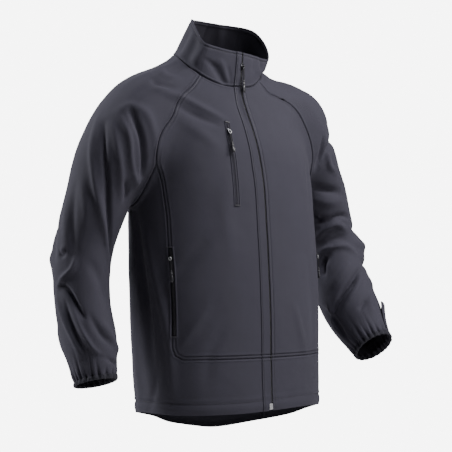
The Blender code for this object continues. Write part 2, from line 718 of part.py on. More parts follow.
def placket(rows):
    """Facing strip beside the zip on the wearer's right, narrower up the collar."""
    outer = np.full(len(rows), PLACKET_WIDTH + ZIP_SLOT / 2)
    narrow = np.linspace(PLACKET_TOP_WIDTH, PLACKET_WIDTH, COLLAR_ROWS + 1)
    outer[:COLLAR_ROWS + 1] = narrow + ZIP_SLOT / 2
    columns = [along_rows(rows, -(PLACKET_INSET * (1 - c) + outer * c)) for c in (0.0, 0.5, 1.0)]
    points = np.stack([points for points, _ in columns], 1)
    normals = np.stack([normals for _, normals in columns], 1)
    return wall("placket", Piece(points, normals), PLACKET_CLOTH, LIFT)


def main_zip(rows_right, rows_left):
    """Tape behind both fronts with the coil standing in the slot between them."""
    count = len(rows_right)
    depth = np.where(np.arange(count) <= COLLAR_ROWS, COLLAR_CLOTH, CLOTH) + SEAM_GAP
    half_tape, half_coil = np.full(count, ZIP_TAPE_WIDTH / 2), np.full(count, COIL_WIDTH / 2)
    corners = []
    for rows, sign, reach, sink in (
        (rows_right, -1, half_tape, depth), (rows_right, -1, half_coil, depth),
        (rows_right, -1, half_coil, np.full(count, SEAM_GAP)),
        (rows_left, 1, half_coil, np.full(count, SEAM_GAP)),
        (rows_left, 1, half_coil, depth), (rows_left, 1, half_tape, depth),
        (rows_left, 1, half_tape, depth + ZIP_TAPE), (rows_right, -1, half_tape, depth + ZIP_TAPE),
    ):
        points, normals = along_rows(rows, sign * reach)
        corners.append(points - normals * sink[:, None])
    rings = np.stack(corners, 1)
    return loft("zip_main", rings, colour=(0.02, 0.02, 0.024), roughness=0.5)


def loft(name, rings, colour, roughness, metallic=0.0):
    """Closed solid through rings of points, with a flat cap at each end."""
    bm = bmesh.new()
    loops = [[bm.verts.new(p) for p in ring] for ring in rings]
    count = len(loops[0])
    for a, b in zip(loops[:-1], loops[1:]):
        for j in range(count):
            k = (j + 1) % count
            bm.faces.new((a[j], a[k], b[k], b[j]))
    bm.faces.new(loops[0])
    bm.faces.new(loops[-1])
    return finish(name, bm, colour, roughness, metallic)


def strip_on_torso(name, side, middle, width):
    """Zip strip over the torso cloth along a middle line of angles and heights."""
    across = math.degrees(width / 2 / POCKET_RADIUS)
    grid = np.stack([middle + (across * c, 0) for c in (-1, 0, 1)], 1)
    piece = Piece(cut_from_torso(grid, SIDES[side]))
    wall(name, piece, POCKET_STRIP, LIFT, colour=(0.02, 0.02, 0.024), roughness=0.5)
    return piece


def place_on(piece, row):
    """Frame standing on a strip or seam: its point, across, up along it and outward."""
    middle = piece.points.shape[1] // 2
    out = piece.normals[row, middle]
    up = unit(piece.points[row - 1, middle] - piece.points[row + 1, middle])
    up = unit(up - out * (up @ out))
    across = np.cross(up, out)
    return piece.points[row, middle], across, up, out


def frame_at(point, across, up, out):
    """Matrix that sets a hard piece down at a point, its own axes along the three directions."""
    return Matrix([[across[k], up[k], out[k], point[k]] for k in range(3)] + [[0, 0, 0, 1]])


def slider(name, place, above):
    """Zip slider: a flat body with two ears that carry the pull."""
    point, across, up, out = place
    xs = (-SLIDER_WIDTH / 2, -EAR_OUTER, -EAR_INNER, EAR_INNER, EAR_OUTER, SLIDER_WIDTH / 2)
    ys = (-SLIDER_LENGTH / 2, -EAR_HALF_LENGTH, EAR_HALF_LENGTH, SLIDER_LENGTH / 2)
    bm = bmesh.new()
    bmesh.ops.create_grid(bm, x_segments=len(xs) - 1, y_segments=len(ys) - 1, size=1)
    for vert in bm.verts:
        column = round((vert.co.x + 1) / 2 * (len(xs) - 1))
        row = round((vert.co.y + 1) / 2 * (len(ys) - 1))
        vert.co = (xs[column], ys[row], 0)
    top = bmesh.ops.extrude_face_region(bm, geom=list(bm.faces), use_keep_orig=True)["geom"]
    for vert in top:
        if isinstance(vert, bmesh.types.BMVert):
            vert.co.z = SLIDER_BASE
    ears = [
        face for face in top if isinstance(face, bmesh.types.BMFace)
        and EAR_INNER < abs(face.calc_center_median().x) < EAR_OUTER
        and abs(face.calc_center_median().y) < EAR_HALF_LENGTH
    ]
    raised = bmesh.ops.extrude_face_region(bm, geom=ears)["geom"]
    bmesh.ops.delete(bm, geom=ears, context="FACES_ONLY")
    for vert in raised:
        if isinstance(vert, bmesh.types.BMVert):
            vert.co.z = SLIDER_BASE + EAR_HEIGHT
    frame = frame_at(point + out * above, across, up, out)
    bmesh.ops.transform(bm, matrix=frame, verts=bm.verts)
    return finish(name, bm, (0.05, 0.05, 0.055), 0.35, 0.8)


def pull(name, place, above, cloth, scale):
    """Pull tab hanging from its slider, just off the cloth: its origin is on the hinge's axis."""
    point, across, up, out = place
    hinge = point + out * (above + HINGE_HEIGHT)
    length = PULL[-1][0] * scale
    clear = cloth.points + cloth.normals * (above + PULL_CLEARANCE)
    away = clear.reshape(-1, 3) - hinge
    near = (np.linalg.norm(away, axis=1) < length + PULL_LOOKS_BEYOND) & (away @ -up > 0.004)
    tilt = np.arctan2(away @ out, away @ -up)[near].max(initial=0.0)
    tilt = max(tilt, math.atan2(-out[2], up[2]))
    along = math.cos(tilt) * -up + math.sin(tilt) * out
    face = np.cross(across, along)
    rings = []
    for distance, half_width, half_thickness in PULL:
        turn = np.arange(PULL_SIDES) * 2 * math.pi / PULL_SIDES + math.pi / PULL_SIDES
        centre = along * distance * (scale if distance > 0 else 1)
        ring = centre + np.cos(turn)[:, None] * across * half_width
        rings.append(ring + np.sin(turn)[:, None] * face * half_thickness)
    thing = loft(name, rings, colour=(0.03, 0.03, 0.035), roughness=0.55)
    thing.location = hinge
    return thing


def retainer(line):
    """Metal box that stops the zip just above the hem."""
    _, across, up, out = place_on(line, len(line.points) - 2)
    point = line.points[-1, 1] + up * RETAINER_ABOVE_HEM
    bm = bmesh.new()
    bmesh.ops.create_cube(bm, size=1)
    bmesh.ops.scale(bm, vec=(RETAINER_WIDTH, RETAINER_LENGTH, RETAINER_HEIGHT), verts=bm.verts)
    edges = [edge for edge in bm.edges if abs((edge.verts[0].co - edge.verts[1].co).z) > 0.001]
    bmesh.ops.bevel(bm, geom=edges, offset=0.0012, segments=2, profile=0.5, affect="EDGES")
    frame = frame_at(point + out * (LIFT + RETAINER_HEIGHT / 2), across, up, out)
    bmesh.ops.transform(bm, matrix=frame, verts=bm.verts)
    return finish("zip_retainer", bm, (0.75, 0.75, 0.78), 0.3, 1.0)


def cuff_tab():
    """Short stiff tab on the outer side of the left cuff, its upper end standing off the sleeve."""
    sleeve = SLEEVE["left"]
    angle_up, from_cuff_up, angle_low, from_cuff_low = CUFF_TAB
    v = np.linspace(0, 1, 5)[:, None]
    across = np.linspace(-0.5, 0.5, 3)[None, :] * TAB_WIDTH / CUFF_RADIUS
    angle = np.radians(angle_up + (angle_low - angle_up) * v) + across
    s = sleeve.length - (from_cuff_up + (from_cuff_low - from_cuff_up) * v) + 0 * across
    points = sleeve.surface(s.ravel(), angle.ravel()).reshape(5, 3, 3)
    normals = surface_normals(points)
    points = points + normals * (TAB_LIFTED * (1 - v[..., None]) ** 2)
    return wall("cuff_tab", Piece(points, normals), TAB_CLOTH, LIFT)


def zip_line(rows_right, rows_left):
    """Middle of the front, between the two edges of the zip's slot, from the top down."""
    edge = np.full(len(rows_right), ZIP_SLOT / 2)
    right, right_out = along_rows(rows_right, -edge)
    left, left_out = along_rows(rows_left, edge)
    points = np.stack([right, (right + left) / 2, left], 1)
    middle_out = unit((right_out + left_out) * (0, 1, 1))
    return Piece(points, np.stack([right_out, middle_out, left_out], 1))


def pocket(name, side, middle, width):
    """Pocket zip over the cloth: where its slider stands, how high, its cloth and the pull's scale."""
    strip = strip_on_torso("zip_" + name, side, middle, width)
    return place_on(strip, 1), LIFT + POCKET_STRIP + SEAM_GAP, strip, POCKET_PULL_SCALE


for old in list(bpy.data.objects):
    bpy.data.objects.remove(old)
PARTS = bpy.data.collections.new(NAME)
bpy.context.scene.collection.children.link(PARTS)

SEAMS = {side: body_seams(side) for side in SIDES}
FRONTS, SIDE_PANELS = {}, {}
for side, sign in SIDES.items():
    FRONTS[side] = Piece(cut_from_torso(front_coordinates(SEAMS[side]), sign))
    wall("front_" + side, FRONTS[side], CLOTH)
    coordinates, side_cells = side_coordinates(SEAMS[side], side)
    SIDE_PANELS[side] = Piece(cut_from_torso(coordinates, sign), cells=side_cells)
    wall("side_" + side, SIDE_PANELS[side], CLOTH)
    sleeve_grid, cuff_angles = sleeve_points(side, SEAMS[side])
    wall("sleeve_" + side, Piece(sleeve_grid, ring=True), CLOTH)
    wall("cuff_" + side, Piece(cuff_points(side, cuff_angles), ring=True), CUFF_CLOTH)
wall("back", Piece(cut_from_torso(back_coordinates(SEAMS["right"], SEAMS["left"]), -1)), CLOTH)
COLLAR = Piece(*collar_points(SEAMS))
wall("collar", COLLAR, COLLAR_CLOTH)

ROWS = {side: rows_by_the_zip(FRONTS[side], SIDE_PANELS[side], COLLAR, side) for side in SIDES}
placket(ROWS["right"])
main_zip(ROWS["right"], ROWS["left"])

FRONT_LINE = zip_line(ROWS["right"], ROWS["left"])
retainer(FRONT_LINE)
MAIN_ROW = int(np.argmin(np.abs(FRONT_LINE.points[:, 1, 2] - MAIN_SLIDER_Z)))
SLIDERS = {"main": (place_on(FRONT_LINE, MAIN_ROW), SLIDER_LIFT, FRONT_LINE, 1.0)}
SLIDERS["chest"] = pocket("chest", "right", spaced(CHEST_POCKET, STRIP_ROWS), CHEST_WIDTH)
for side in SIDES:
    hand_heights = np.linspace(HAND_POCKET_TOP, HAND_POCKET_BOTTOM, STRIP_ROWS + 1)
    seam = SEAMS[side]["princess"]
    hand_angles = np.interp(-hand_heights, -seam[:, 1], seam[:, 0]) + HAND_POCKET_TURN
    middle_line = np.stack([hand_angles, hand_heights], 1)
    SLIDERS["hand_" + side] = pocket("hand_" + side, side, middle_line, HAND_WIDTH)
for name, (place, above, cloth, scale) in SLIDERS.items():
    slider("slider_" + name, place, above)
    pull("pull_" + name, place, above, cloth, scale)
cuff_tab()
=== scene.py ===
"""Raglan softshell jacket filled out as on a wearer: the finished cloth, sewing and zips on the CAD frame.

The cloth lies on one worn form, a torso and two sleeve tubes blended where they meet. Each panel is a
fine grid between shared seam curves. Folds, seams and topstitching move its points along the form's
outward direction, so neighbouring panels always meet. Metres, +Z up, front towards -Y.
"""

import json
import logging
import math
from dataclasses import dataclass, field
from enum import Enum
from typing import Optional, Sequence

import bmesh
import bpy
import numpy as np
from mathutils import Matrix, Vector, noise


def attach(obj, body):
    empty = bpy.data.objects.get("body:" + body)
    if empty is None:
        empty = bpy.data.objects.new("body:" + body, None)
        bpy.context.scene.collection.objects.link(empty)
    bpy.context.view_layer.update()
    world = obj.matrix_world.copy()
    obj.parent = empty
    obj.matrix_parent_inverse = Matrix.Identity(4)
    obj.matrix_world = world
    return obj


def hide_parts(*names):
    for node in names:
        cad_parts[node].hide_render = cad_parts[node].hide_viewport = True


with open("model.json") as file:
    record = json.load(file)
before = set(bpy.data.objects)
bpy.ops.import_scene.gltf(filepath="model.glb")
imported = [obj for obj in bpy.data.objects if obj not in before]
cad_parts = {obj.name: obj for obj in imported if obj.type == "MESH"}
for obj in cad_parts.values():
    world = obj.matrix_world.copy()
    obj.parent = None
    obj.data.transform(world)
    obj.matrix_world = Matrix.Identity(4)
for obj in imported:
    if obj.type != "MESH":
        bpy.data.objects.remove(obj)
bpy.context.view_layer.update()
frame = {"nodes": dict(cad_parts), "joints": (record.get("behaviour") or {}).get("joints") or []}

LOG = logging.getLogger("softshell_jacket")
Array = np.ndarray
BODY = "jacket"
MM = 0.001

# the torso's cutting grid: below the chest its rows are level, above it they fan up to this slope
CHEST = -0.25
STEEPEST = math.radians(84)

# mean radius of the torso, which weighs degrees round it against heights
TORSO_RADIUS = 0.17


class Side(Enum):
    """Side of the wearer, with the sign of x there."""

    RIGHT = -1
    LEFT = 1


class Place(Enum):
    """Surface that a fold's or a stitch line's coordinates are given on."""

    TORSO = "torso"
    RIGHT_SLEEVE = "right sleeve"
    LEFT_SLEEVE = "left sleeve"


def curve(knots: Array, values: Array, at: Array) -> Array:
    """Smooth curve through a table, each knot's slope taken from its neighbours.

    Args:
        knots: rising positions of the table's rows.
        values: values there, one row each.
        at: positions wanted.

    Returns:
        One value or row for each position.
    """
    knots, values = np.asarray(knots, float), np.asarray(values, float)
    at = np.clip(at, knots[0], knots[-1])
    slopes = np.gradient(values, knots, axis=0)
    i = np.clip(np.searchsorted(knots, at, side="right") - 1, 0, len(knots) - 2)
    gap = knots[i + 1] - knots[i]
    t = (at - knots[i]) / gap
    if values.ndim > 1:
        gap, t = gap[..., None], t[..., None]
    start = values[i] * (1 + 2 * t) + slopes[i] * gap * t
    end = values[i + 1] * (3 - 2 * t) - slopes[i + 1] * gap * (1 - t)
    return start * (1 - t) ** 2 + end * t * t


def travelled(points: Array) -> Array:
    """Distance along a line from its start to each of its points."""
    return np.concatenate([[0], np.cumsum(np.linalg.norm(np.diff(points, axis=0), axis=1))])


def between(at: Array, knots: Array, table: Array) -> Array:
    """Rows of a table at positions between its knots, on straight lines."""
    return np.stack([np.interp(at, knots, column) for column in table.T], 1)


def smoothstep(low: float, high: float, x: Array) -> Array:
    """Soft step from 0 at low to 1 at high."""
    t = np.clip((x - low) / (high - low), 0, 1)
    return t * t * (3 - 2 * t)


def unit(v: Array) -> Array:
    """Vectors brought to length 1."""
    return v / np.maximum(np.linalg.norm(v, axis=-1, keepdims=True), 1e-12)


@dataclass
class SleeveTube:
    """One sleeve: its centre line, the directions across it and its oval sections."""

    side: Side
    stations: tuple[tuple[float, ...], ...]
    samples: int = 120
    batch: int = 20000

    def __post_init__(self) -> None:
        """Works out the centre line and the directions across it."""
        table = np.array(self.stations, float)
        table[:, 0] *= self.side.value
        knots = travelled(table[:, :3])
        self.length = float(knots[-1])
        self.along = np.linspace(0, self.length, self.samples + 1)
        self.line = curve(knots, table[:, :3], self.along)
        self.size = curve(knots, table[:, 3:], self.along)
        self.tangent = unit(np.gradient(self.line, self.along, axis=0))
        forward = np.array([0.0, -1.0, 0.0])
        self.front = unit(forward + self.tangent * self.tangent[:, 1:2])
        self.out = np.cross(self.tangent, self.front) * -self.side.value

    def at(self, s: Array, table: Array) -> Array:
        """Rows of a table of this sleeve at lengths along it."""
        x = np.clip(s / self.length, 0, 1) * self.samples
        i = np.clip(x.astype(int), 0, self.samples - 1)
        return table[i] + (table[i + 1] - table[i]) * (x - i)[:, None]

    def coordinates(self, p: Array) -> tuple[Array, Array, Array]:
        """Length along the sleeve, angle (0 outer, 90 front, 180 under) and distance of points.

        Args:
            p: points in space.

        Returns:
            Lengths, angles in radians and distances from the centre line.
        """
        nearest = np.empty(len(p), int)
        for k in range(0, len(p), self.batch):
            q = p[k:k + self.batch]
            apart = (self.line ** 2).sum(1)[None] - 2 * q @ self.line.T
            nearest[k:k + self.batch] = apart.argmin(1)
        s = self.along[nearest] + ((p - self.line[nearest]) * self.tangent[nearest]).sum(1)
        off = p - self.at(s, self.line)
        front = (off * self.at(s, self.front)).sum(1)
        out = (off * self.at(s, self.out)).sum(1)
        return s, np.arctan2(front, out), np.linalg.norm(off, axis=1)

    def field(self, p: Array) -> Array:
        """Distance of points outside the sleeve, roughly."""
        s, angle, distance = self.coordinates(p)
        size = self.at(s, self.size)
        return distance - 1 / np.hypot(np.cos(angle) / size[:, 0], np.sin(angle) / size[:, 1])


@dataclass
class WornForm:
    """Smooth form that the cloth lies on: torso sections and two sleeve tubes, softly blended."""

    torso: tuple[tuple[float, ...], ...]
    sleeves: dict[Side, SleeveTube]
    armpit_blend: float = 12 * MM
    shoulder_blend: float = 57 * MM
    armpit_level: float = -0.34
    shoulder_level: float = -0.22
    torso_reach: float = 0.42
    sleeve_reach: float = 0.16
    first_step: float = 10 * MM
    least_step: float = 1.5 * MM
    careful: float = 0.6
    walks: int = 48
    halvings: int = 11

    def section(self, angle: Array, z: Array) -> tuple[Array, Array]:
        """Radius of the torso at angles from the front, and the y of its middle."""
        table = np.array(self.torso)
        front, back, half, square = curve(table[:, 0], table[:, 1:], z).T
        depth = (back - front) / 2
        across, along = np.abs(np.sin(angle)) / half, np.abs(np.cos(angle)) / depth
        return (across ** square + along ** square) ** (-1 / square), (front + back) / 2

    def torso_field(self, p: Array) -> Array:
        """Distance of points outside the torso, roughly."""
        _, middle = self.section(np.zeros(len(p)), p[:, 2])
        x, y = p[:, 0], p[:, 1] - middle
        radius, _ = self.section(np.arctan2(x, -y), p[:, 2])
        return np.hypot(x, y) - radius

    def field(self, p: Array) -> Array:
        """Distance of points outside the whole form, roughly."""
        value = self.torso_field(p)
        softness = smoothstep(self.armpit_level, self.shoulder_level, p[:, 2])
        blend = self.armpit_blend + (self.shoulder_blend - self.armpit_blend) * softness
        for sleeve in self.sleeves.values():
            other = sleeve.field(p)
            mix = np.clip(0.5 + 0.5 * (other - value) / blend, 0, 1)
            value = other * (1 - mix) + value * mix - blend * mix * (1 - mix)
        return value

    def leave(self, origin: Array, direction: Array, reach: float) -> Array:
        """First points where rays from inside leave the form.

        Args:
            origin: start of each ray.
            direction: direction of each ray, of length 1.
            reach: longest way a ray may go.

        Returns:
            Points of the surface.
        """
        near = np.full(len(origin), self.first_step)
        far = np.full(len(origin), reach)
        walking = np.ones(len(origin), bool)
        position = near.copy()
        for _ in range(self.walks):
            k = np.flatnonzero(walking)
            if not len(k):
                break
            value = self.field(origin[k] + direction[k] * position[k][:, None])
            inside = (value < 0) & (position[k] < reach)
            near[k[inside]] = position[k[inside]]
            far[k[~inside]] = position[k[~inside]]
            walking[k[~inside]] = False
            position[k[inside]] += np.maximum(-self.careful * value[inside], self.least_step)
        for _ in range(self.halvings):
            middle = (near + far) / 2
            outside = self.field(origin + direction * middle[:, None]) > 0
            far, near = np.where(outside, middle, far), np.where(outside, near, middle)
        return origin + direction * ((near + far) / 2)[:, None]

    def torso_surface(self, angle: Array, h: Array) -> Array:
        """Points of the form at angles in radians from the front and heights of the cutting grid."""
        up = np.clip((h - CHEST) / -CHEST, 0, None) * STEEPEST
        z = np.minimum(h, CHEST)
        _, middle = self.section(angle, z)
        origin = np.stack([0 * z, middle, z], 1)
        flat = np.cos(up)
        direction = np.stack([np.sin(angle) * flat, -np.cos(angle) * flat, np.sin(up)], 1)
        return self.leave(origin, direction, self.torso_reach)

    def sleeve_surface(self, side: Side, s: Array, angle: Array) -> Array:
        """Points of the form at lengths along a sleeve and angles in radians round it."""
        tube = self.sleeves[side]
        out, front = tube.at(s, tube.out), tube.at(s, tube.front)
        direction = np.cos(angle)[:, None] * out + np.sin(angle)[:, None] * front
        return self.leave(tube.at(s, tube.line), direction, self.sleeve_reach)

    def normal(self, p: Array) -> Array:
        """Outward direction of the form at points of its surface."""
        step = 0.6 * MM
        slope = np.zeros_like(p)
        for axis in range(3):
            shift = np.zeros(3)
            shift[axis] = step
            slope[:, axis] = self.field(p + shift) - self.field(p - shift)
        return unit(slope)

    def on(self, place: Place, path: Sequence[Sequence[float]]) -> Array:
        """Points of a path: degrees and mm of height on the torso, mm along and degrees on a sleeve."""
        table = np.array(path, float)
        if place is Place.TORSO:
            return self.torso_surface(np.radians(table[:, 0]), table[:, 1] * MM)
        side = Side.RIGHT if place is Place.RIGHT_SLEEVE else Side.LEFT
        return self.sleeve_surface(side, table[:, 0] * MM, np.radians(table[:, 1]))


# torso sections: height, y of the front, y of the back, half width, squareness
TORSO = (
    (-0.820, -0.158, 0.125, 0.198, 2.3),
    (-0.700, -0.157, 0.139, 0.202, 2.3),
    (-0.580, -0.153, 0.150, 0.205, 2.3),
    (-0.460, -0.147, 0.155, 0.206, 2.3),
    (-0.340, -0.137, 0.158, 0.205, 2.3),
    (-0.260, -0.128, 0.158, 0.202, 2.3),
    (-0.200, -0.116, 0.157, 0.196, 2.3),
    (-0.140, -0.094, 0.153, 0.180, 2.2),
    (-0.090, -0.070, 0.144, 0.153, 2.1),
    (-0.050, -0.050, 0.130, 0.122, 2.0),
    (-0.010, -0.036, 0.112, 0.092, 2.0),
    (0.020, -0.026, 0.095, 0.072, 2.0),
)
# sleeve sections: x outwards, y, z, half width outwards, half depth from front to back
RIGHT_STATIONS = (
    (0.010, 0.045, -0.070, 0.060, 0.070),
    (0.100, 0.045, -0.082, 0.062, 0.080),
    (0.182, 0.042, -0.121, 0.073, 0.086),
    (0.236, 0.044, -0.195, 0.076, 0.086),
    (0.276, 0.060, -0.300, 0.064, 0.071),
    (0.302, 0.076, -0.410, 0.058, 0.066),
    (0.311, 0.060, -0.500, 0.054, 0.060),
    (0.313, 0.029, -0.590, 0.052, 0.058),
    (0.313, 0.006, -0.662, 0.037, 0.044),
)
LEFT_STATIONS = (
    (0.010, 0.045, -0.078, 0.058, 0.070),
    (0.100, 0.045, -0.099, 0.060, 0.080),
    (0.182, 0.042, -0.119, 0.072, 0.086),
    (0.238, 0.044, -0.188, 0.066, 0.084),
    (0.290, 0.050, -0.300, 0.064, 0.074),
    (0.323, 0.050, -0.400, 0.061, 0.068),
    (0.329, 0.014, -0.482, 0.060, 0.066),
    (0.328, -0.037, -0.551, 0.056, 0.061),
    (0.329, -0.093, -0.612, 0.038, 0.044),
)


@dataclass(frozen=True)
class SeamPlan:
    """Where the cloth is cut, in degrees from the front and metres of height of the cutting grid."""

    neck: tuple = (
        (-180, -0.0480), (-128, -0.0460), (-96, -0.0490), (-83, -0.0550), (-61, -0.0620),
        (-34, -0.0570), (-16, -0.0530), (0, -0.0515), (16, -0.0515), (37, -0.0490), (61, -0.0510),
        (96, -0.0500), (128, -0.0460), (180, -0.0480),
    )
    raglan_front: dict = field(default_factory=lambda: {
        Side.RIGHT: ((61.0, -0.0620), (63.2, -0.0870), (66.8, -0.1130), (68.6, -0.1500), (71.7, -0.1830)),
        Side.LEFT: ((39.0, -0.0490), (43.0, -0.0680), (54.0, -0.0860), (64.0, -0.1130), (69.5, -0.1600)),
    })
    raglan_back: tuple = ((128.0, -0.0530), (126.0, -0.1000), (123.0, -0.1500), (120.0, -0.2000))
    princess_top: dict = field(default_factory=lambda: {Side.RIGHT: 74.3, Side.LEFT: 76.5})
    side_back_top: float = 116.0
    princess: tuple = (
        (72.0, -0.2850), (70.2, -0.3300), (69.2, -0.3900), (68.3, -0.4500), (68.0, -0.5200),
        (68.2, -0.5700), (68.4, -0.5930),
    )
    band_corner: tuple = ((66.8, -0.6085), (62.6, -0.6160))
    band: float = -0.6160
    side_back: tuple = ((117.0, -0.3200), (118.0, -0.4200), (119.0, -0.5700), (119.0, -0.6160))
    hem: tuple = (
        (-180, -0.777), (-158, -0.765), (-143, -0.750), (-128, -0.740), (-105, -0.729),
        (-60, -0.726), (-30, -0.7245), (0, -0.7215), (55, -0.722), (75, -0.730), (87, -0.740),
        (100, -0.755), (125, -0.774), (155, -0.785), (180, -0.777),
    )
    zip_lean: tuple = (
        (-0.800, -0.0020), (-0.700, -0.0020), (-0.630, -0.0008), (-0.560, 0.0002), (-0.360, 0.0004),
        (-0.300, 0.0010), (-0.235, -0.0006), (-0.176, -0.0036), (-0.118, -0.0072), (-0.080, -0.0092),
        (-0.050, -0.0065), (0.0, -0.0040),
    )
    neck_front: float = -0.0515
    armpit_row: float = -0.215
    armhole_search: tuple = (-0.42, -0.15)
    front_radius: float = 0.14
    collar_lean: float = 1 * MM
    lean_fades: float = 60.0
    collar_top: tuple = (
        (-180, 0.000, 0.060, 0.0765), (-140, -0.048, 0.048, 0.0780), (-115, -0.068, 0.026, 0.0755),
        (-92, -0.078, -0.004, 0.0540), (-70, -0.080, -0.034, 0.0230), (-45, -0.054, -0.048, 0.0125),
        (-20, -0.025, -0.056, 0.0065), (0, 0.000, -0.0595, 0.0035), (20, 0.030, -0.056, 0.0000),
        (42, 0.070, -0.045, -0.0050), (63, 0.099, -0.026, 0.0000), (85, 0.105, -0.004, 0.0310),
        (110, 0.092, 0.020, 0.0600), (140, 0.055, 0.052, 0.0720), (180, 0.000, 0.060, 0.0765),
    )
    zip_slot: float = 3.8 * MM
    lowest: float = -0.780
    cuff_binding: float = 8.5 * MM


@dataclass(frozen=True)
class Cells:
    """Cells of the coarse cutting grid and the fine spacing of the cloth between them."""

    raglan: int = 20
    princess: int = 32
    band: int = 6
    front: int = 20
    under: int = 16
    neck: int = 10
    back: int = 32
    sleeve: int = 60
    collar: int = 8
    step: float = 3.8 * MM
    near_seam: tuple = (0.9, 1.9, 3.2, 4.4, 5.3, 6.3, 7.3, 8.4, 10.5)
    spans: dict = field(default_factory=lambda: {
        "front": 0.200, "raglan": 0.190, "princess": 0.400, "band": 0.110, "under": 0.150, "neck": 0.095,
        "back": 0.420, "sleeve": 0.560, "collar": 0.085,
    })

    def fine(self, name: str, start: bool = True, end: bool = True) -> Array:
        """Positions of the fine rows or columns in units of coarse cells.

        Args:
            name: the seam or edge that they run over.
            start: whether rows are close together at the first end, as beside a seam.
            end: whether they are close together at the last end.

        Returns:
            Rising positions from 0 to the number of cells.
        """
        cells, length = getattr(self, name), self.spans[name]
        tight = np.array(self.near_seam) * MM
        low = tight if start else np.zeros(0)
        high = length - tight[::-1] if end else np.zeros(0)
        first = low[-1] if start else 0.0
        last = high[0] if end else length
        count = max(round((last - first) / self.step), 2)
        inner = np.linspace(first, last, count + 1)
        every = np.concatenate([[0.0], low[:-1], inner, high[1:], [length]])
        return np.unique(np.round(every / length * cells, 6))


def spaced(points: Sequence, count: int) -> Array:
    """Equally spaced coordinates along a smooth curve through the given ones."""
    table = np.array(points, float)
    scale = np.array([TORSO_RADIUS * math.pi / 180, 1.0])
    knots = travelled(table * scale)
    fine = curve(knots, table, np.linspace(0, knots[-1], 400))
    along = travelled(fine * scale)
    return between(np.linspace(0, along[-1], count + 1), along, fine)


def coons(top: Array, bottom: Array, left: Array, right: Array) -> Array:
    """Grid of coordinates between four edges; rows run from top to bottom."""
    v = np.linspace(0, 1, len(left))[:, None, None]
    u = np.linspace(0, 1, len(top))[None, :, None]
    across = left[:, None] * (1 - u) + right[:, None] * u
    down = top[None] * (1 - v) + bottom[None] * v
    corners = (top[0] * (1 - u) + top[-1] * u) * (1 - v) + (bottom[0] * (1 - u) + bottom[-1] * u) * v
    return across + down - corners


@dataclass
class Sheet:
    """Grid of cloth: its points, the outward directions there and whether it closes in a ring."""

    points: Array
    normals: Array
    ring: bool = False

    def finer(self, rows: Array, columns: Array) -> "Sheet":
        """The same cloth on fine rows and columns, given in units of its own cells."""
        out = []
        for grid in (self.points, self.normals):
            r, c = grid.shape[:2]
            tall = curve(np.arange(r), grid.reshape(r, -1), rows).reshape(len(rows), c, 3)
            across = tall.transpose(1, 0, 2).reshape(c, -1)
            if self.ring:
                across = np.concatenate([across[-2:-1], across, across[1:2]])
                wide = curve(np.arange(-1, c + 1), across, columns)
            else:
                wide = curve(np.arange(c), across, columns)
            out.append(wide.reshape(len(columns), len(rows), 3).transpose(1, 0, 2))
        return Sheet(out[0], unit(out[1]), self.ring)


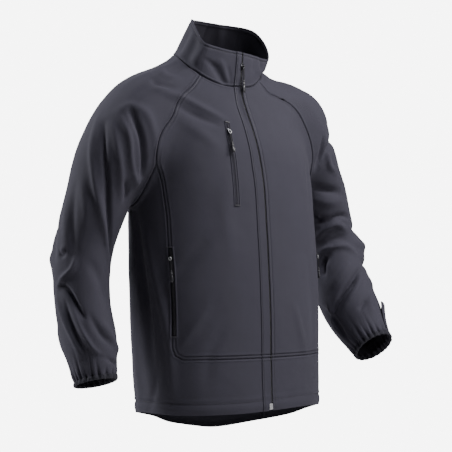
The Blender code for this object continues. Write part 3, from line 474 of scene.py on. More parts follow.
class Pattern:
    """The jacket's cutting: every panel as a coarse sheet on the worn form."""

    def __init__(self, form: WornForm, plan: SeamPlan, cells: Cells) -> None:
        """Works out the seams of both sides.

        Args:
            form: the worn form.
            plan: where the cloth is cut.
            cells: cells of the cutting grid.
        """
        self.form, self.plan, self.cells = form, plan, cells
        self.seams = {side: self.side_seams(side) for side in Side}

    def height_round(self, table: tuple, angles: Array, side: Side) -> Array:
        """Height of the neck seam or the hem at angles counted from the front towards one side."""
        rows = np.array(table)
        signed = (angles * side.value + 180) % 360 - 180
        return curve(rows[:, 0], rows[:, 1], signed)

    def neck_seam(self, angles: Array, side: Side) -> Array:
        """Coordinates of the neck seam."""
        return np.stack([angles, self.height_round(self.plan.neck, angles, side)], 1)

    def armhole(self, side: Side, angles: Array) -> Array:
        """Height at each angle where the body turns into the sleeve."""
        turned = np.radians(angles) * side.value
        low, high = (np.full(len(angles), height) for height in self.plan.armhole_search)
        for _ in range(16):
            middle = (low + high) / 2
            p = self.form.torso_surface(turned, middle)
            on_sleeve = self.form.torso_field(p) > self.form.sleeves[side].field(p)
            low, high = np.where(on_sleeve, low, middle), np.where(on_sleeve, middle, high)
        return low - 1 * MM

    def front_edge_angles(self, x: Array, heights: Array) -> Array:
        """Angles in degrees at which the front of the torso has the given x."""
        angles = x / self.plan.front_radius
        for _ in range(4):
            points = self.form.torso_surface(angles, heights)
            angles = angles + (x - points[:, 0]) / self.plan.front_radius
        return np.degrees(angles)

    def side_seams(self, side: Side) -> dict[str, Array]:
        """All seams of one side of the body, as angles in degrees and heights."""
        plan, cells = self.plan, self.cells
        hole_angles = np.linspace(plan.princess_top[side], plan.side_back_top, cells.under + 1)
        under = np.stack([hole_angles, self.armhole(side, hole_angles)], 1)
        ends = self.neck_seam(np.array([plan.raglan_front[side][0][0], plan.raglan_back[0][0]]), side)
        raglan_front = spaced(np.vstack([ends[:1], plan.raglan_front[side][1:], under[:1]]), cells.raglan)
        raglan_back = spaced(np.vstack([under[-1:], plan.raglan_back[:0:-1], ends[1:]]), cells.raglan)
        princess = spaced((tuple(under[0]),) + plan.princess, cells.princess - 1)
        princess = np.vstack([princess, plan.band_corner[:1]])
        heights = np.interp(
            np.arange(cells.raglan + cells.princess + 1),
            (0, cells.raglan, cells.raglan + cells.princess), (plan.neck_front, plan.armpit_row, plan.band))
        lean = np.array(plan.zip_lean)
        edge = curve(lean[:, 0], lean[:, 1], heights) + side.value * plan.zip_slot / 2
        front_edge = np.stack([self.front_edge_angles(edge, heights) * side.value, heights], 1)
        neck = self.neck_seam(np.linspace(front_edge[0, 0], raglan_front[0, 0], cells.front + 1), side)
        neck[0], neck[-1] = front_edge[0], raglan_front[0]
        band_angles = np.linspace(plan.band_corner[1][0], front_edge[-1, 0], cells.front)
        band = np.vstack([plan.band_corner[:1], np.stack([band_angles, 0 * band_angles + plan.band], 1)])
        band[-1] = front_edge[-1]
        return {
            "under": under, "raglan_front": raglan_front, "raglan_back": raglan_back,
            "princess": princess, "front_edge": front_edge, "neck": neck, "band": band,
            "side_back": spaced((tuple(under[-1]),) + plan.side_back, cells.princess),
        }

    def down_to_hem(self, row: Array, side: Side) -> Array:
        """Rows of the band below a row of coordinates, the last one on the hem."""
        hem = np.stack([row[:, 0], self.height_round(self.plan.hem, row[:, 0], side)], 1)
        v = np.linspace(0, 1, self.cells.band + 1)[1:, None, None]
        return row[None] * (1 - v) + hem[None] * v

    def sheet(self, grid: Array, sign: int) -> Sheet:
        """Sheet of torso cloth at a grid of angles in degrees and heights."""
        flat = grid.reshape(-1, 2)
        points = self.form.torso_surface(np.radians(flat[:, 0]) * sign, flat[:, 1])
        shape = (*grid.shape[:2], 3)
        return Sheet(points.reshape(shape), self.form.normal(points).reshape(shape))

    def front(self, side: Side) -> Sheet:
        """Front panel, from the zip's edge to the raglan and side seams."""
        seams = self.seams[side]
        outer = np.vstack([seams["raglan_front"], seams["princess"][1:]])
        return self.sheet(coons(seams["neck"], seams["band"][::-1], seams["front_edge"], outer), side.value)

    def side_panel(self, side: Side) -> Sheet:
        """Side panel alone, from the armhole down to the level of the band."""
        seams = self.seams[side]
        foot = np.linspace(seams["princess"][-1], seams["side_back"][-1], self.cells.under + 1)
        return self.sheet(coons(seams["under"], foot, seams["princess"], seams["side_back"]), side.value)

    def band(self, side: Side) -> Sheet:
        """Band under the front and the side panel, down to the hem: one cloth with the side panel."""
        seams = self.seams[side]
        foot = np.linspace(seams["princess"][-1], seams["side_back"][-1], self.cells.under + 1)
        top = np.vstack([seams["band"][::-1][:-1], foot])
        return self.sheet(np.concatenate([top[None], self.down_to_hem(top, side)]), side.value)

    def back(self) -> Sheet:
        """Back panel, counted on from the right side past 180 degrees to the left side."""
        edges = []
        for side in Side:
            seams = self.seams[side]
            edge = np.vstack([seams["raglan_back"][::-1], seams["side_back"][1:]])
            edges.append(np.vstack([edge, self.down_to_hem(edge[-1:], side)[:, 0]]))
        edges[1] = edges[1] * (-1, 1) + (360, 0)
        count = self.cells.back + 1
        top = self.neck_seam(np.linspace(edges[0][0, 0], edges[1][0, 0], count), Side.RIGHT)
        angles = np.linspace(edges[0][-1, 0], edges[1][-1, 0], count)
        hem = np.stack([angles, self.height_round(self.plan.hem, angles, Side.RIGHT)], 1)
        return self.sheet(coons(top, hem, edges[0], edges[1]), -1)

    def neck_arc(self, side: Side) -> Array:
        """Coordinates of the sleeve's own stretch of the neck seam, from back to front."""
        start, end = self.plan.raglan_back[0][0], self.plan.raglan_front[side][0][0]
        return self.neck_seam(np.linspace(start, end, self.cells.neck + 1), side)

    def sleeve_loop(self, side: Side) -> Array:
        """Coordinates of the armhole and neck loop that the sleeve hangs from, closed on itself."""
        seams = self.seams[side]
        return np.vstack([
            seams["raglan_front"], seams["under"][1:], seams["raglan_back"][1:], self.neck_arc(side)[1:],
        ])

    def sleeve(self, side: Side) -> Sheet:
        """Sleeve from its loop to the cuff, each row a ring, its last column the first again."""
        tube, rows = self.form.sleeves[side], self.cells.sleeve
        loop = self.sleeve_loop(side)
        top = self.form.torso_surface(np.radians(loop[:, 0]) * side.value, loop[:, 1])
        s, angle, _ = tube.coordinates(top)
        angle = np.unwrap(angle)
        columns = len(loop) - 1
        even = 2 * math.pi * (np.arange(columns + 1) - (columns - self.cells.neck / 2)) / columns
        even += 2 * math.pi * np.round((angle[:-1] - even[:-1]).mean() / (2 * math.pi))
        v = np.linspace(0, 1, rows + 1)[:, None]
        along = s * (1 - v) + (tube.length - self.plan.cuff_binding) * v
        turn = smoothstep(0.0, 0.65, v)
        around = angle * (1 - turn) + even * turn
        points = self.form.sleeve_surface(side, along.ravel(), around.ravel())
        points = points.reshape(rows + 1, columns + 1, 3)
        points[0] = top
        points[:, -1] = points[:, 0]
        return Sheet(points, self.form.normal(points.reshape(-1, 3)).reshape(points.shape), True)

    def collar(self) -> Sheet:
        """Collar from the neck seam up, from the right front edge round the back to the left."""
        halves = []
        for side in Side:
            half = np.vstack([self.seams[side]["neck"], self.neck_arc(side)[::-1][1:]])
            halves.append(half * (side.value, 1))
        start = self.plan.raglan_back[0][0]
        back = self.neck_seam(np.linspace(start, 360 - start, self.cells.back + 1)[1:-1], Side.RIGHT)
        ring = np.vstack([halves[0], back * (-1, 1), halves[1][::-1]])
        base = self.form.torso_surface(np.radians(ring[:, 0]), ring[:, 1])
        table = np.array(self.plan.collar_top)
        turned = (ring[:, 0] + 180) % 360 - 180
        lean = (turned[0] + turned[-1]) / 2
        turned = turned - lean * np.clip(1 - np.abs(turned) / self.plan.lean_fades, 0, 1)
        edge = curve(table[:, 0], table[:, 1:], turned)
        edge[[0, -1], 0] = self.plan.collar_lean + np.array([-0.5, 0.5]) * self.plan.zip_slot
        v = np.linspace(0, 1, self.cells.collar + 1)[:, None, None]
        points = base * (1 - v) + edge * v
        normals = unit(np.cross(np.gradient(points, axis=0), np.gradient(points, axis=1)))
        normals[0] = self.form.normal(base)
        return Sheet(points, normals)

    def seam_line(self, name: str, side: Side) -> Array:
        """Points in space of one of the seams."""
        seam = self.seams[side][name]
        return self.form.torso_surface(np.radians(seam[:, 0]) * side.value, seam[:, 1])


@dataclass(frozen=True)
class Fold:
    """One fold of the cloth: a line on a surface, how wide and how high it is.

    The width is the distance in mm at which the fold has a third of its height. A positive lean makes
    the side on the right of the line steeper, a negative one the side on its left.
    """

    place: Place
    path: tuple
    width: float
    rise: float
    lean: float = 0.0


# mm from a seam to its topstitching; share of their given width and rise that all folds have
STITCH_OFFSET = 6.3
FOLD_WIDTH = 0.85
FOLD_RISE = 1.35
R, L, T = Place.RIGHT_SLEEVE, Place.LEFT_SLEEVE, Place.TORSO
FOLDS = (
    # right sleeve, from the shoulder to the cuff
    Fold(R, ((258, 24), (301, 43), (347, 63), (405, 84), (463, 108), (500, 124)), 7.5, -7.0, -0.3),
    Fold(R, ((250, 4), (305, 21), (347, 41), (397, 65), (440, 89), (502, 112)), 11, 4.5, 0.4),
    Fold(R, ((253, 36), (284, 57), (324, 78), (372, 95)), 8, 3.5),
    Fold(R, ((222, 50), (236, 64), (258, 84), (290, 103), (312, 112)), 7, -9.0, 0.3),
    Fold(R, ((236, 34), (218, 48), (214, 70), (232, 92), (262, 110)), 11, 3.5),
    Fold(R, ((238, 40), (262, 66), (296, 84), (324, 102)), 7, 4.5, -0.3),
    Fold(R, ((318, 96), (334, 118)), 12, 5.0),
    Fold(R, ((372, 104), (354, 102), (338, 90)), 6, -5.0),
    Fold(R, ((361, 19), (405, 43), (444, 55)), 11, 2.5),
    Fold(R, ((380, 8), (450, 30), (509, 42)), 10, -2.5),
    Fold(R, ((395, -12), (445, 8), (500, 24)), 13, 2.5),
    Fold(R, ((505, 4), (510, 14), (506, 24)), 4.5, -4.5),
    Fold(R, ((497, 10), (500, 24)), 6, 2.5),
    Fold(R, ((517, 46), (540, 38), (556, 14), (570, -6)), 8, 5.0, 0.5),
    Fold(R, ((562, 6), (582, 30), (612, 44), (645, 56)), 7, -7.0, -0.3),
    Fold(R, ((585, -12), (629, 8), (678, 24), (712, 33)), 9, 4.5, -0.4),
    Fold(R, ((604, 18), (648, 27), (704, 42)), 6, -4.0),
    Fold(R, ((620, 34), (677, 50), (712, 70), (728, 112)), 7, 4.0, -0.5),
    Fold(R, ((640, 66), (682, 84), (706, 118)), 8, -3.5),
    Fold(R, ((660, 90), (700, 118), (704, 150)), 12, 4.5),
    Fold(R, ((716, 70), (733, 112), (737, 140)), 5.5, -5.0),
    Fold(R, ((520, 70), (560, 92), (610, 106)), 14, -3.0),
    Fold(R, ((430, -60), (470, -30), (520, -10)), 14, -4.0),
    Fold(R, ((470, -100), (505, -60), (520, -30)), 14, 5.0),
    Fold(R, ((520, -130), (545, -80), (550, -40)), 13, -6.0),
    Fold(R, ((560, 150), (590, 200), (600, 250)), 15, -5.0),
    Fold(R, ((600, -100), (640, -60), (690, -40)), 14, 4.0),
    Fold(R, ((280, -40), (340, -70), (420, -90)), 18, -5.0),
    Fold(R, ((250, -60), (310, -95), (370, -130)), 16, 4.0),
    Fold(R, ((60, 20), (130, 22), (190, 14)), 11, 2.0),
    Fold(R, ((70, 45), (140, 50), (200, 44)), 11, -2.0),
    # left sleeve
    Fold(L, ((178, 20), (205, 38), (234, 50)), 22, 6.5),
    Fold(L, ((250, 44), (259, 60), (268, 84), (284, 104)), 6.5, -6.0, 0.2),
    Fold(L, ((266, 40), (296, 46), (340, 48)), 20, -7.5),
    Fold(L, ((468, 40), (505, 46), (556, 48)), 24, 7.0),
    Fold(L, ((240, 84), (266, 100), (290, 116)), 7.5, -7.5, 0.3),
    Fold(L, ((275, 86), (298, 92), (322, 82)), 7, 4.0),
    Fold(L, ((330, 132), (350, 108), (370, 80)), 10, -7.0),
    Fold(L, ((358, 140), (378, 112), (392, 80)), 10, 3.0),
    Fold(L, ((392, 144), (410, 138), (412, 122)), 9, -9.0),
    Fold(L, ((424, 128), (415, 108), (416, 90), (430, 70)), 6.5, -6.5, 0.5),
    Fold(L, ((452, 146), (432, 124), (429, 103), (455, 84)), 9, 6.0, -0.3),
    Fold(L, ((480, 128), (470, 108), (482, 90)), 9, -3.0),
    Fold(L, ((570, 160), (545, 155), (527, 138)), 10, -10.0),
    Fold(L, ((505, 150), (500, 128), (512, 96), (535, 80)), 8, 5.0),
    Fold(L, ((582, 84), (612, 110), (632, 138), (655, 177)), 6.5, -9.0, -0.4),
    Fold(L, ((604, 88), (640, 116), (662, 150)), 9, 5.0, 0.3),
    Fold(L, ((560, 100), (590, 130), (606, 160)), 12, 4.0),
    Fold(L, ((668, 100), (686, 122)), 5, -3.5),
    Fold(L, ((650, 78), (676, 92), (700, 98)), 8, 3.0),
    Fold(L, ((455, 60), (480, 30), (490, 0)), 11, -6.0),
    Fold(L, ((500, 70), (520, 30), (525, -10)), 14, 6.0),
    Fold(L, ((556, 70), (565, 30), (560, -10)), 10, -6.0),
    Fold(L, ((600, 60), (610, 20), (600, -30)), 14, 4.0),
    Fold(L, ((250, 20), (262, 50), (268, 80)), 10, -7.0),
    Fold(L, ((258, -40), (255, -10), (252, 20)), 12, -6.0),
    Fold(L, ((300, -60), (360, -90), (430, -110)), 18, -5.0),
    Fold(L, ((470, -60), (500, -100), (520, -140)), 14, -5.0),
    Fold(L, ((540, -50), (570, -100), (580, -150)), 14, 5.0),
    Fold(L, ((620, -150), (665, -172), (712, -170)), 8, -5.0),
    Fold(L, ((626, 176), (670, -166), (716, -158)), 8, 4.0),
    # neck seam drawn in on the left, shoulders and chest
    Fold(T, ((40, -50), (62, -51), (92, -50)), 13, -6.0),
    Fold(T, ((-96, -80), (-84, -96), (-74, -92)), 12, 3.5),
    Fold(T, ((-86, -112), (-78, -118), (-70, -108)), 9, -3.0),
    Fold(T, ((-78, -128), (-73, -124), (-66, -118)), 10, 3.5),
    Fold(T, ((-70, -116), (-55, -114), (-40, -119), (-33, -124)), 9, 3.2, 0.3),
    Fold(T, ((-68, -132), (-54, -134), (-37, -140)), 9, -3.0),
    Fold(T, ((-66, -150), (-50, -168), (-38, -190)), 15, 2.0),
    Fold(T, ((-12, -60), (-13, -90), (-9, -130)), 8, -2.0),
    Fold(T, ((62, -120), (50, -135), (36, -160)), 16, 2.0),
    Fold(T, ((70, -200), (58, -230), (52, -300)), 16, -2.0),
    # front panels
    Fold(T, ((-46, -380), (-57, -420), (-66, -450)), 16, -2.5),
    Fold(T, ((-48, -520), (-57, -560), (-65, -596)), 12, 3.0),
    Fold(T, ((-38, -560), (-46, -600), (-50, -660)), 16, -2.0),
    Fold(T, ((-30, -250), (-34, -330), (-30, -420)), 22, 2.0),
    Fold(T, ((24, -510), (30, -560), (36, -610)), 12, 2.5),
    Fold(T, ((44, -420), (48, -520), (46, -640)), 20, -2.5),
    Fold(T, ((60, -380), (58, -480), (62, -600)), 15, 2.5),
    # side panels
    Fold(T, ((-84, -380), (-78, -465), (-73, -535), (-70, -600), (-70, -690)), 14, 5.0, 0.3),
    Fold(T, ((-95, -330), (-90, -448), (-86, -536), (-82, -640)), 16, -7.0),
    Fold(T, ((-104, -380), (-102, -520), (-98, -720)), 18, 4.0),
    Fold(T, ((-78, -640), (-84, -690), (-88, -720)), 12, -2.5),
    Fold(T, ((84, -380), (80, -470), (76, -560), (74, -680)), 16, 4.0),
    Fold(T, ((94, -340), (90, -460), (86, -600)), 17, -6.0),
    Fold(T, ((104, -420), (102, -560), (98, -720)), 18, 4.0),
    # back
    Fold(T, ((150, -300), (158, -420), (155, -600), (150, -740)), 24, -5.0),
    Fold(T, ((-148, -280), (-156, -420), (-152, -600), (-148, -740)), 24, -5.0),
    Fold(T, ((170, -180), (175, -300), (-178, -460)), 26, -3.0),
    Fold(T, ((130, -240), (138, -330), (140, -460)), 16, 4.0),
    Fold(T, ((-130, -240), (-137, -330), (-140, -460)), 16, 4.0),
    Fold(T, ((-124, -400), (-128, -560), (-126, -720)), 16, -4.0),
    Fold(T, ((124, -400), (128, -560), (126, -720)), 16, -4.0),
    Fold(T, ((142, -120), (160, -132), (180, -136), (-160, -132), (-142, -120)), 14, -2.5),
)


@dataclass(frozen=True)
class Ridge:
    """Raised or sunken line along an edge, in mm: its rise, its distance from the edge and its half width."""

    rise: float
    middle: float
    half_width: float

    def height(self, mm: Array) -> Array:
        """Height in metres at distances in mm from the edge."""
        return self.rise * MM * np.exp(-((mm - self.middle) / self.half_width) ** 2)


# a seam's groove with the cloth rolling up beside it, and the groove of a topstitched row
SEAM_RIDGES = (Ridge(-1.9, 0.0, 1.3), Ridge(0.85, 3.4, 1.6))
STITCH_RIDGES = (Ridge(-1.7, STITCH_OFFSET, 1.0), Ridge(0.65, STITCH_OFFSET + 2.6, 1.5))

# slight unevenness of all cloth: rise in mm and waves in a metre
UNREST = ((1.3, 14.0), (0.35, 42.0))


def line_distance(p: Array, line: Array, normals: Array) -> tuple[Array, Array, Array]:
    """Distances of points from a line in space.

    Args:
        p: points.
        line: the line's own points.
        normals: outward directions at the points, for the sign of the side.

    Returns:
        Distance, side (negative on the left of the line) and how far along it, from 0 to 1.
    """
    best = np.full(len(p), 9.0)
    side, along = np.zeros(len(p)), np.zeros(len(p))
    lengths = np.linalg.norm(np.diff(line, axis=0), axis=1)
    starts = np.concatenate([[0], np.cumsum(lengths)])
    for k, (a, b) in enumerate(zip(line[:-1], line[1:])):
        d = b - a
        t = np.clip((p - a) @ d / max(d @ d, 1e-12), 0, 1)
        off = p - a - t[:, None] * d
        away = np.linalg.norm(off, axis=1)
        nearer = away < best
        best[nearer] = away[nearer]
        cross = (off * np.cross(np.broadcast_to(d, p.shape), normals)).sum(1)
        side[nearer] = np.sign(cross[nearer])
        along[nearer] = ((starts[k] + t * lengths[k]) / starts[-1])[nearer]
    return best, side, along


class Drape:
    """Everything that moves the cloth off the smooth form: folds, puckers at seams, stitched lines."""

    calm_share: float = 0.85
    calm_reach: float = 15 * MM
    far_away: float = 9.0
    fold_reach: float = 3.2
    lean_share: float = 0.75
    taper_power: float = 0.6

    def __init__(self, form: WornForm, pattern: Pattern) -> None:
        """Lays every fold and seam down in space.

        Args:
            form: the worn form.
            pattern: the jacket's cutting.
        """
        self.form = form
        self.folds = []
        for fold in FOLDS:
            knots = form.on(fold.place, fold.path)
            count = len(knots)
            self.folds.append((fold, curve(np.arange(count), knots, np.linspace(0, count - 1, 6 * count))))
        self.calm: list[tuple[Array, Array]] = []
        self.named: dict[tuple[str, Side], Array] = {}
        for side in Side:
            for name in ("raglan_front", "under", "raglan_back", "princess", "side_back", "band", "neck"):
                self.named[name, side] = pattern.seam_line(name, side)
            plan = pattern.plan
            down = np.linspace(plan.band, plan.lowest, 9)
            turn = np.full(9, math.radians(plan.side_back[-1][0])) * side.value
            self.named["band_back", side] = form.torso_surface(turn, down)
            arc = pattern.neck_arc(side)
            turn = np.radians(arc[:, 0]) * side.value
            self.named["neck_arc", side] = form.torso_surface(turn, arc[:, 1])
        self.seams = list(self.named.values())

    def keep_calm(self, start: Sequence[float], end: Sequence[float]) -> None:
        """Keeps the cloth nearly smooth under a hard piece that reaches from start to end."""
        self.calm.append((np.array(start), np.array(end)))

    def share(self, p: Array) -> Array:
        """Share of the folds and the unevenness that the cloth has at points."""
        share = np.ones(len(p))
        for a, b in self.calm:
            t = np.clip((p - a) @ (b - a) / ((b - a) @ (b - a)), 0, 1)
            away = np.linalg.norm(p - a - t[:, None] * (b - a), axis=1)
            share = np.minimum(share, 1 - self.calm_share * np.exp(-(away / self.calm_reach) ** 2))
        return share

    def away_from(self, p: Array, normals: Array, lines: Sequence[Array], reach: float = 12 * MM) -> Array:
        """Distance in mm of points from the nearest of some lines, or far for those out of reach."""
        near = np.full(len(p), self.far_away)
        for line in lines:
            low, high = line.min(0) - reach, line.max(0) + reach
            k = np.flatnonzero(((p > low) & (p < high)).all(1))
            if len(k):
                away, _, _ = line_distance(p[k], line, normals[k])
                near[k] = np.minimum(near[k], away)
        return near / MM

    def fold_height(self, p: Array, normals: Array) -> Array:
        """Height of all folds at points of the cloth."""
        height = np.zeros(len(p))
        for fold, line in self.folds:
            width = fold.width * MM
            low, high = line.min(0) - self.fold_reach * width, line.max(0) + self.fold_reach * width
            k = np.flatnonzero(((p > low) & (p < high)).all(1))
            if not len(k):
                continue
            away, side, along = line_distance(p[k], line, normals[k])
            right, left = 1 - self.lean_share * max(fold.lean, 0), 1 + self.lean_share * min(fold.lean, 0)
            wide = width * FOLD_WIDTH * np.where(side > 0, right, left)
            taper = np.sin(math.pi * np.clip(along * 0.94 + 0.03, 0, 1)) ** self.taper_power
            height[k] += fold.rise * FOLD_RISE * MM * taper * np.exp(-(away / wide) ** 2)
        return height

    def seam_height(self, p: Array, normals: Array, stitched: Sequence[Array] = ()) -> Array:
        """Dip along every seam, with the cloth rolling up beside it, and the groove of the topstitching.

        Args:
            p: points of the cloth.
            normals: outward directions there.
            stitched: seams that this panel is topstitched along.

        Returns:
            Heights in metres.
        """
        mm = self.away_from(p, normals, self.seams)
        height = sum(ridge.height(mm) for ridge in SEAM_RIDGES)
        if len(stitched):
            mm = self.away_from(p, normals, stitched)
            height = height + sum(ridge.height(mm) for ridge in STITCH_RIDGES)
        return height

    def unrest(self, p: Array) -> Array:
        """Slight unevenness that all cloth has, from broad waves to small ones."""
        return sum(
            rise * MM * np.array([noise.noise(Vector(q) * waves) for q in p]) for rise, waves in UNREST)

    def move(
        self, sheet: Sheet, extra: Optional[Array] = None, folded: float | Array = 1.0,
        stitched: Sequence[Array] = (),
    ) -> Sheet:
        """The sheet with its folds and seams.

        Args:
            sheet: smooth cloth.
            extra: further height at each point, in metres.
            folded: share of the folds that it takes, one for all points or one each.
            stitched: seams that it is topstitched along.

        Returns:
            The cloth as it hangs.
        """
        p, n = sheet.points.reshape(-1, 3), sheet.normals.reshape(-1, 3)
        height = (self.fold_height(p, n) * folded + self.unrest(p)) * self.share(p)
        height += self.seam_height(p, n, stitched)
        if extra is not None:
            height = height + extra.ravel()
        moved = p + n * height[:, None]
        return Sheet(moved.reshape(sheet.points.shape), sheet.normals, sheet.ring)


def linear(code: str) -> tuple[float, float, float, float]:
    """Colour of an sRGB hex code as the shaders want it."""
    parts = [int(code[k:k + 2], 16) / 255 for k in (1, 3, 5)]
    return (*[c / 12.92 if c <= 0.04045 else ((c + 0.055) / 1.055) ** 2.4 for c in parts], 1.0)


def add(
    tree: bpy.types.NodeTree, kind: str, links: Optional[dict] = None, **settings: object,
) -> bpy.types.Node:
    """Adds a node to a material.

    Args:
        tree: the material's nodes.
        kind: the node's type.
        links: socket name or number to an output socket, or to a plain value.
        settings: the node's own settings.

    Returns:
        The node.
    """
    node = tree.nodes.new(kind)
    for name, value in settings.items():
        setattr(node, name, value)
    for socket, value in (links or {}).items():
        if isinstance(value, bpy.types.NodeSocket):
            tree.links.new(value, node.inputs[socket])
        else:
            node.inputs[socket].default_value = value
    return node


@dataclass(frozen=True)
class Finish:
    """A plain moulded or metal finish with a slight unevenness of its gloss."""

    name: str
    colour: str
    roughness: float
    metallic: float = 0.0
    grain_mm: float = 1.5
    bump: float = 0.05
    coat: float = 0.0
    lighter: float = 1.25
    bump_depth: float = 0.3 * MM

    def material(self) -> bpy.types.Material:
        """Makes the material."""
        made = bpy.data.materials.new(self.name)
        made.use_nodes = True
        tree = made.node_tree
        shader = tree.nodes["Principled BSDF"]
        where = add(tree, "ShaderNodeTexCoord").outputs["Object"]
        grain = add(tree, "ShaderNodeTexNoise", {
            "Vector": where, "Scale": 1 / (self.grain_mm * MM), "Detail": 4.0})
        lighter = tuple(min(c * self.lighter, 1) for c in linear(self.colour))
        tone = add(tree, "ShaderNodeMix", {
            "Factor": grain.outputs["Fac"], 6: linear(self.colour), 7: lighter}, data_type="RGBA")
        gloss = add(tree, "ShaderNodeMapRange", {
            "Value": grain.outputs["Fac"], "To Min": self.roughness * 0.85, "To Max": self.roughness * 1.15})
        bump = add(tree, "ShaderNodeBump", {
            "Height": grain.outputs["Fac"], "Strength": self.bump, "Distance": self.bump_depth})
        tree.links.new(tone.outputs[2], shader.inputs["Base Color"])
        tree.links.new(gloss.outputs[0], shader.inputs["Roughness"])
        tree.links.new(bump.outputs[0], shader.inputs["Normal"])
        shader.inputs["Metallic"].default_value = self.metallic
        shader.inputs["Coat Weight"].default_value = self.coat
        return made


@dataclass(frozen=True)
class Weave:
    """Woven or brushed cloth: crossing threads, tufts and a slow change of tone, in millimetres."""

    name: str
    colour: str
    thread_mm: float
    roughness: float
    weave_bump: float
    tuft: float = 0.0
    tuft_mm: float = 1.0
    sheen: float = 0.15
    sheen_colour: str = "#8c8a94"
    sheen_roughness: float = 0.45
    specular: float = 0.25
    variation: float = 0.12
    thread_tones: tuple = (0.86, 1.16)
    bump_depth: float = 0.25 * MM

    def material(self) -> bpy.types.Material:
        """Makes the material; it reads the cloth's own UV map, which is in metres."""
        made = bpy.data.materials.new(self.name)
        made.use_nodes = True
        tree = made.node_tree
        shader = tree.nodes["Principled BSDF"]
        cloth = add(tree, "ShaderNodeUVMap", uv_map="cloth").outputs["UV"]
        where = add(tree, "ShaderNodeTexCoord").outputs["Object"]
        bands = []
        for direction in ("X", "Y"):
            bands.append(add(tree, "ShaderNodeTexWave", {
                "Vector": cloth, "Scale": 0.314 / (self.thread_mm * MM), "Distortion": 0.6,
                "Detail": 1.0, "Detail Scale": 2.0,
            }, bands_direction=direction, wave_profile="SIN"))
        crossing = add(tree, "ShaderNodeMath", {
            0: bands[0].outputs["Fac"], 1: bands[1].outputs["Fac"]}, operation="MULTIPLY")
        tufts = add(tree, "ShaderNodeTexNoise", {
            "Vector": where, "Scale": 1 / (self.tuft_mm * MM), "Detail": 3.0, "Roughness": 0.7})
        height = add(tree, "ShaderNodeMix", {
            "Factor": self.tuft, 2: crossing.outputs[0], 3: tufts.outputs["Fac"]}, data_type="FLOAT")
        slow = add(tree, "ShaderNodeTexNoise", {
            "Vector": where, "Scale": 9.0, "Detail": 5.0, "Roughness": 0.62})
        low = tuple(c * (1 - self.variation) for c in linear(self.colour)[:3]) + (1.0,)
        high = tuple(c * (1 + self.variation) for c in linear(self.colour)[:3]) + (1.0,)
        tone = add(tree, "ShaderNodeMix", {"Factor": slow.outputs["Fac"], 6: low, 7: high}, data_type="RGBA")
        threads = add(tree, "ShaderNodeMapRange", {
            "Value": height.outputs[0], "To Min": self.thread_tones[0], "To Max": self.thread_tones[1]})
        dyed = add(
            tree, "ShaderNodeMix", {"Factor": 1.0, 6: tone.outputs[2], 7: threads.outputs[0]},
            data_type="RGBA", blend_type="MULTIPLY")
        rough = add(tree, "ShaderNodeMapRange", {
            "Value": slow.outputs["Fac"], "To Min": self.roughness - 0.05, "To Max": self.roughness + 0.05})
        bump = add(tree, "ShaderNodeBump", {
            "Height": height.outputs[0], "Strength": self.weave_bump, "Distance": self.bump_depth})
        tree.links.new(dyed.outputs[2], shader.inputs["Base Color"])
        tree.links.new(rough.outputs[0], shader.inputs["Roughness"])
        tree.links.new(bump.outputs[0], shader.inputs["Normal"])
        shader.inputs["Sheen Weight"].default_value = self.sheen
        shader.inputs["Sheen Roughness"].default_value = self.sheen_roughness
        shader.inputs["Sheen Tint"].default_value = linear(self.sheen_colour)
        shader.inputs["Specular IOR Level"].default_value = self.specular
        return made


class Finishes:
    """Every finish of the jacket, each made once."""

    def __init__(self) -> None:
        """Makes the materials."""
        # stretch woven polyester face: matt, very fine, a faint sheen where it turns away
        # its thread, 0.3 mm, is drawn coarser so that the weave still shows at the size of the photograph
        self.shell = Weave("woven_polyester_shell", "#4a4854", 2.0, 0.82, 0.5, sheen=0.22).material()
        # brushed polyester fleece bonded behind it: soft, nearly black
        self.fleece = Weave(
            "brushed_fleece", "#302f38", 1.6, 0.95, 0.8, tuft=0.85, tuft_mm=1.1, sheen=0.3).material()
        # the same fleece dyed to the shell where it faces the collar
        self.facing = Weave(
            "brushed_collar_facing", "#45434e", 1.6, 0.92, 0.5, tuft=0.6, tuft_mm=1.1, sheen=0.3).material()
        # elastic binding: ribbed, darker than the shell
        self.elastic = Weave("ribbed_elastic", "#403f48", 1.3, 0.85, 0.9, sheen=0.1).material()
        # woven polyester zip tape
        self.tape = Weave("woven_zip_tape", "#232228", 0.7, 0.75, 0.6, sheen=0.1).material()
        # the same tape dyed to the shell in the pockets
        self.pocket_tape = Weave("woven_pocket_tape", "#45434e", 0.7, 0.75, 0.6, sheen=0.15).material()
        # polyester sewing thread, a shade lighter than the shell for its gloss
        self.thread = Finish("polyester_thread", "#45444b", 0.5, grain_mm=0.3).material()
        # moulded polyester coil
        self.coil = Finish("moulded_coil", "#1d1c21", 0.32, grain_mm=0.8).material()
        # die-cast zinc with a dark lacquer
        self.slider = Finish(
            "lacquered_zinc", "#3a3a3e", 0.28, metallic=0.85, grain_mm=0.6, coat=0.3).material()
        # bare polished zinc at the zip's foot and the slider's worn ring
        self.bright = Finish("satin_zinc", "#dcdce0", 0.42, metallic=0.55, grain_mm=0.8).material()
        # moulded thermoplastic rubber grip
        self.grip = Finish("moulded_rubber_grip", "#35343a", 0.42, grain_mm=0.5, coat=0.25).material()
        # braided cord
        self.cord = Finish("braided_cord", "#242328", 0.7, grain_mm=0.35, bump=0.4).material()


def arc_lengths(points: Array) -> tuple[Array, Array]:
    """Lengths along the rows and down the columns of a grid, for its UV map."""
    across = np.linalg.norm(np.diff(points, axis=1), axis=2)
    down = np.linalg.norm(np.diff(points, axis=0), axis=2)
    u = np.concatenate([np.zeros((len(points), 1)), np.cumsum(across, 1)], 1)
    v = np.concatenate([np.zeros((1, points.shape[1])), np.cumsum(down, 0)])
    u = u - u[:, u.shape[1] // 2][:, None]
    return u, v


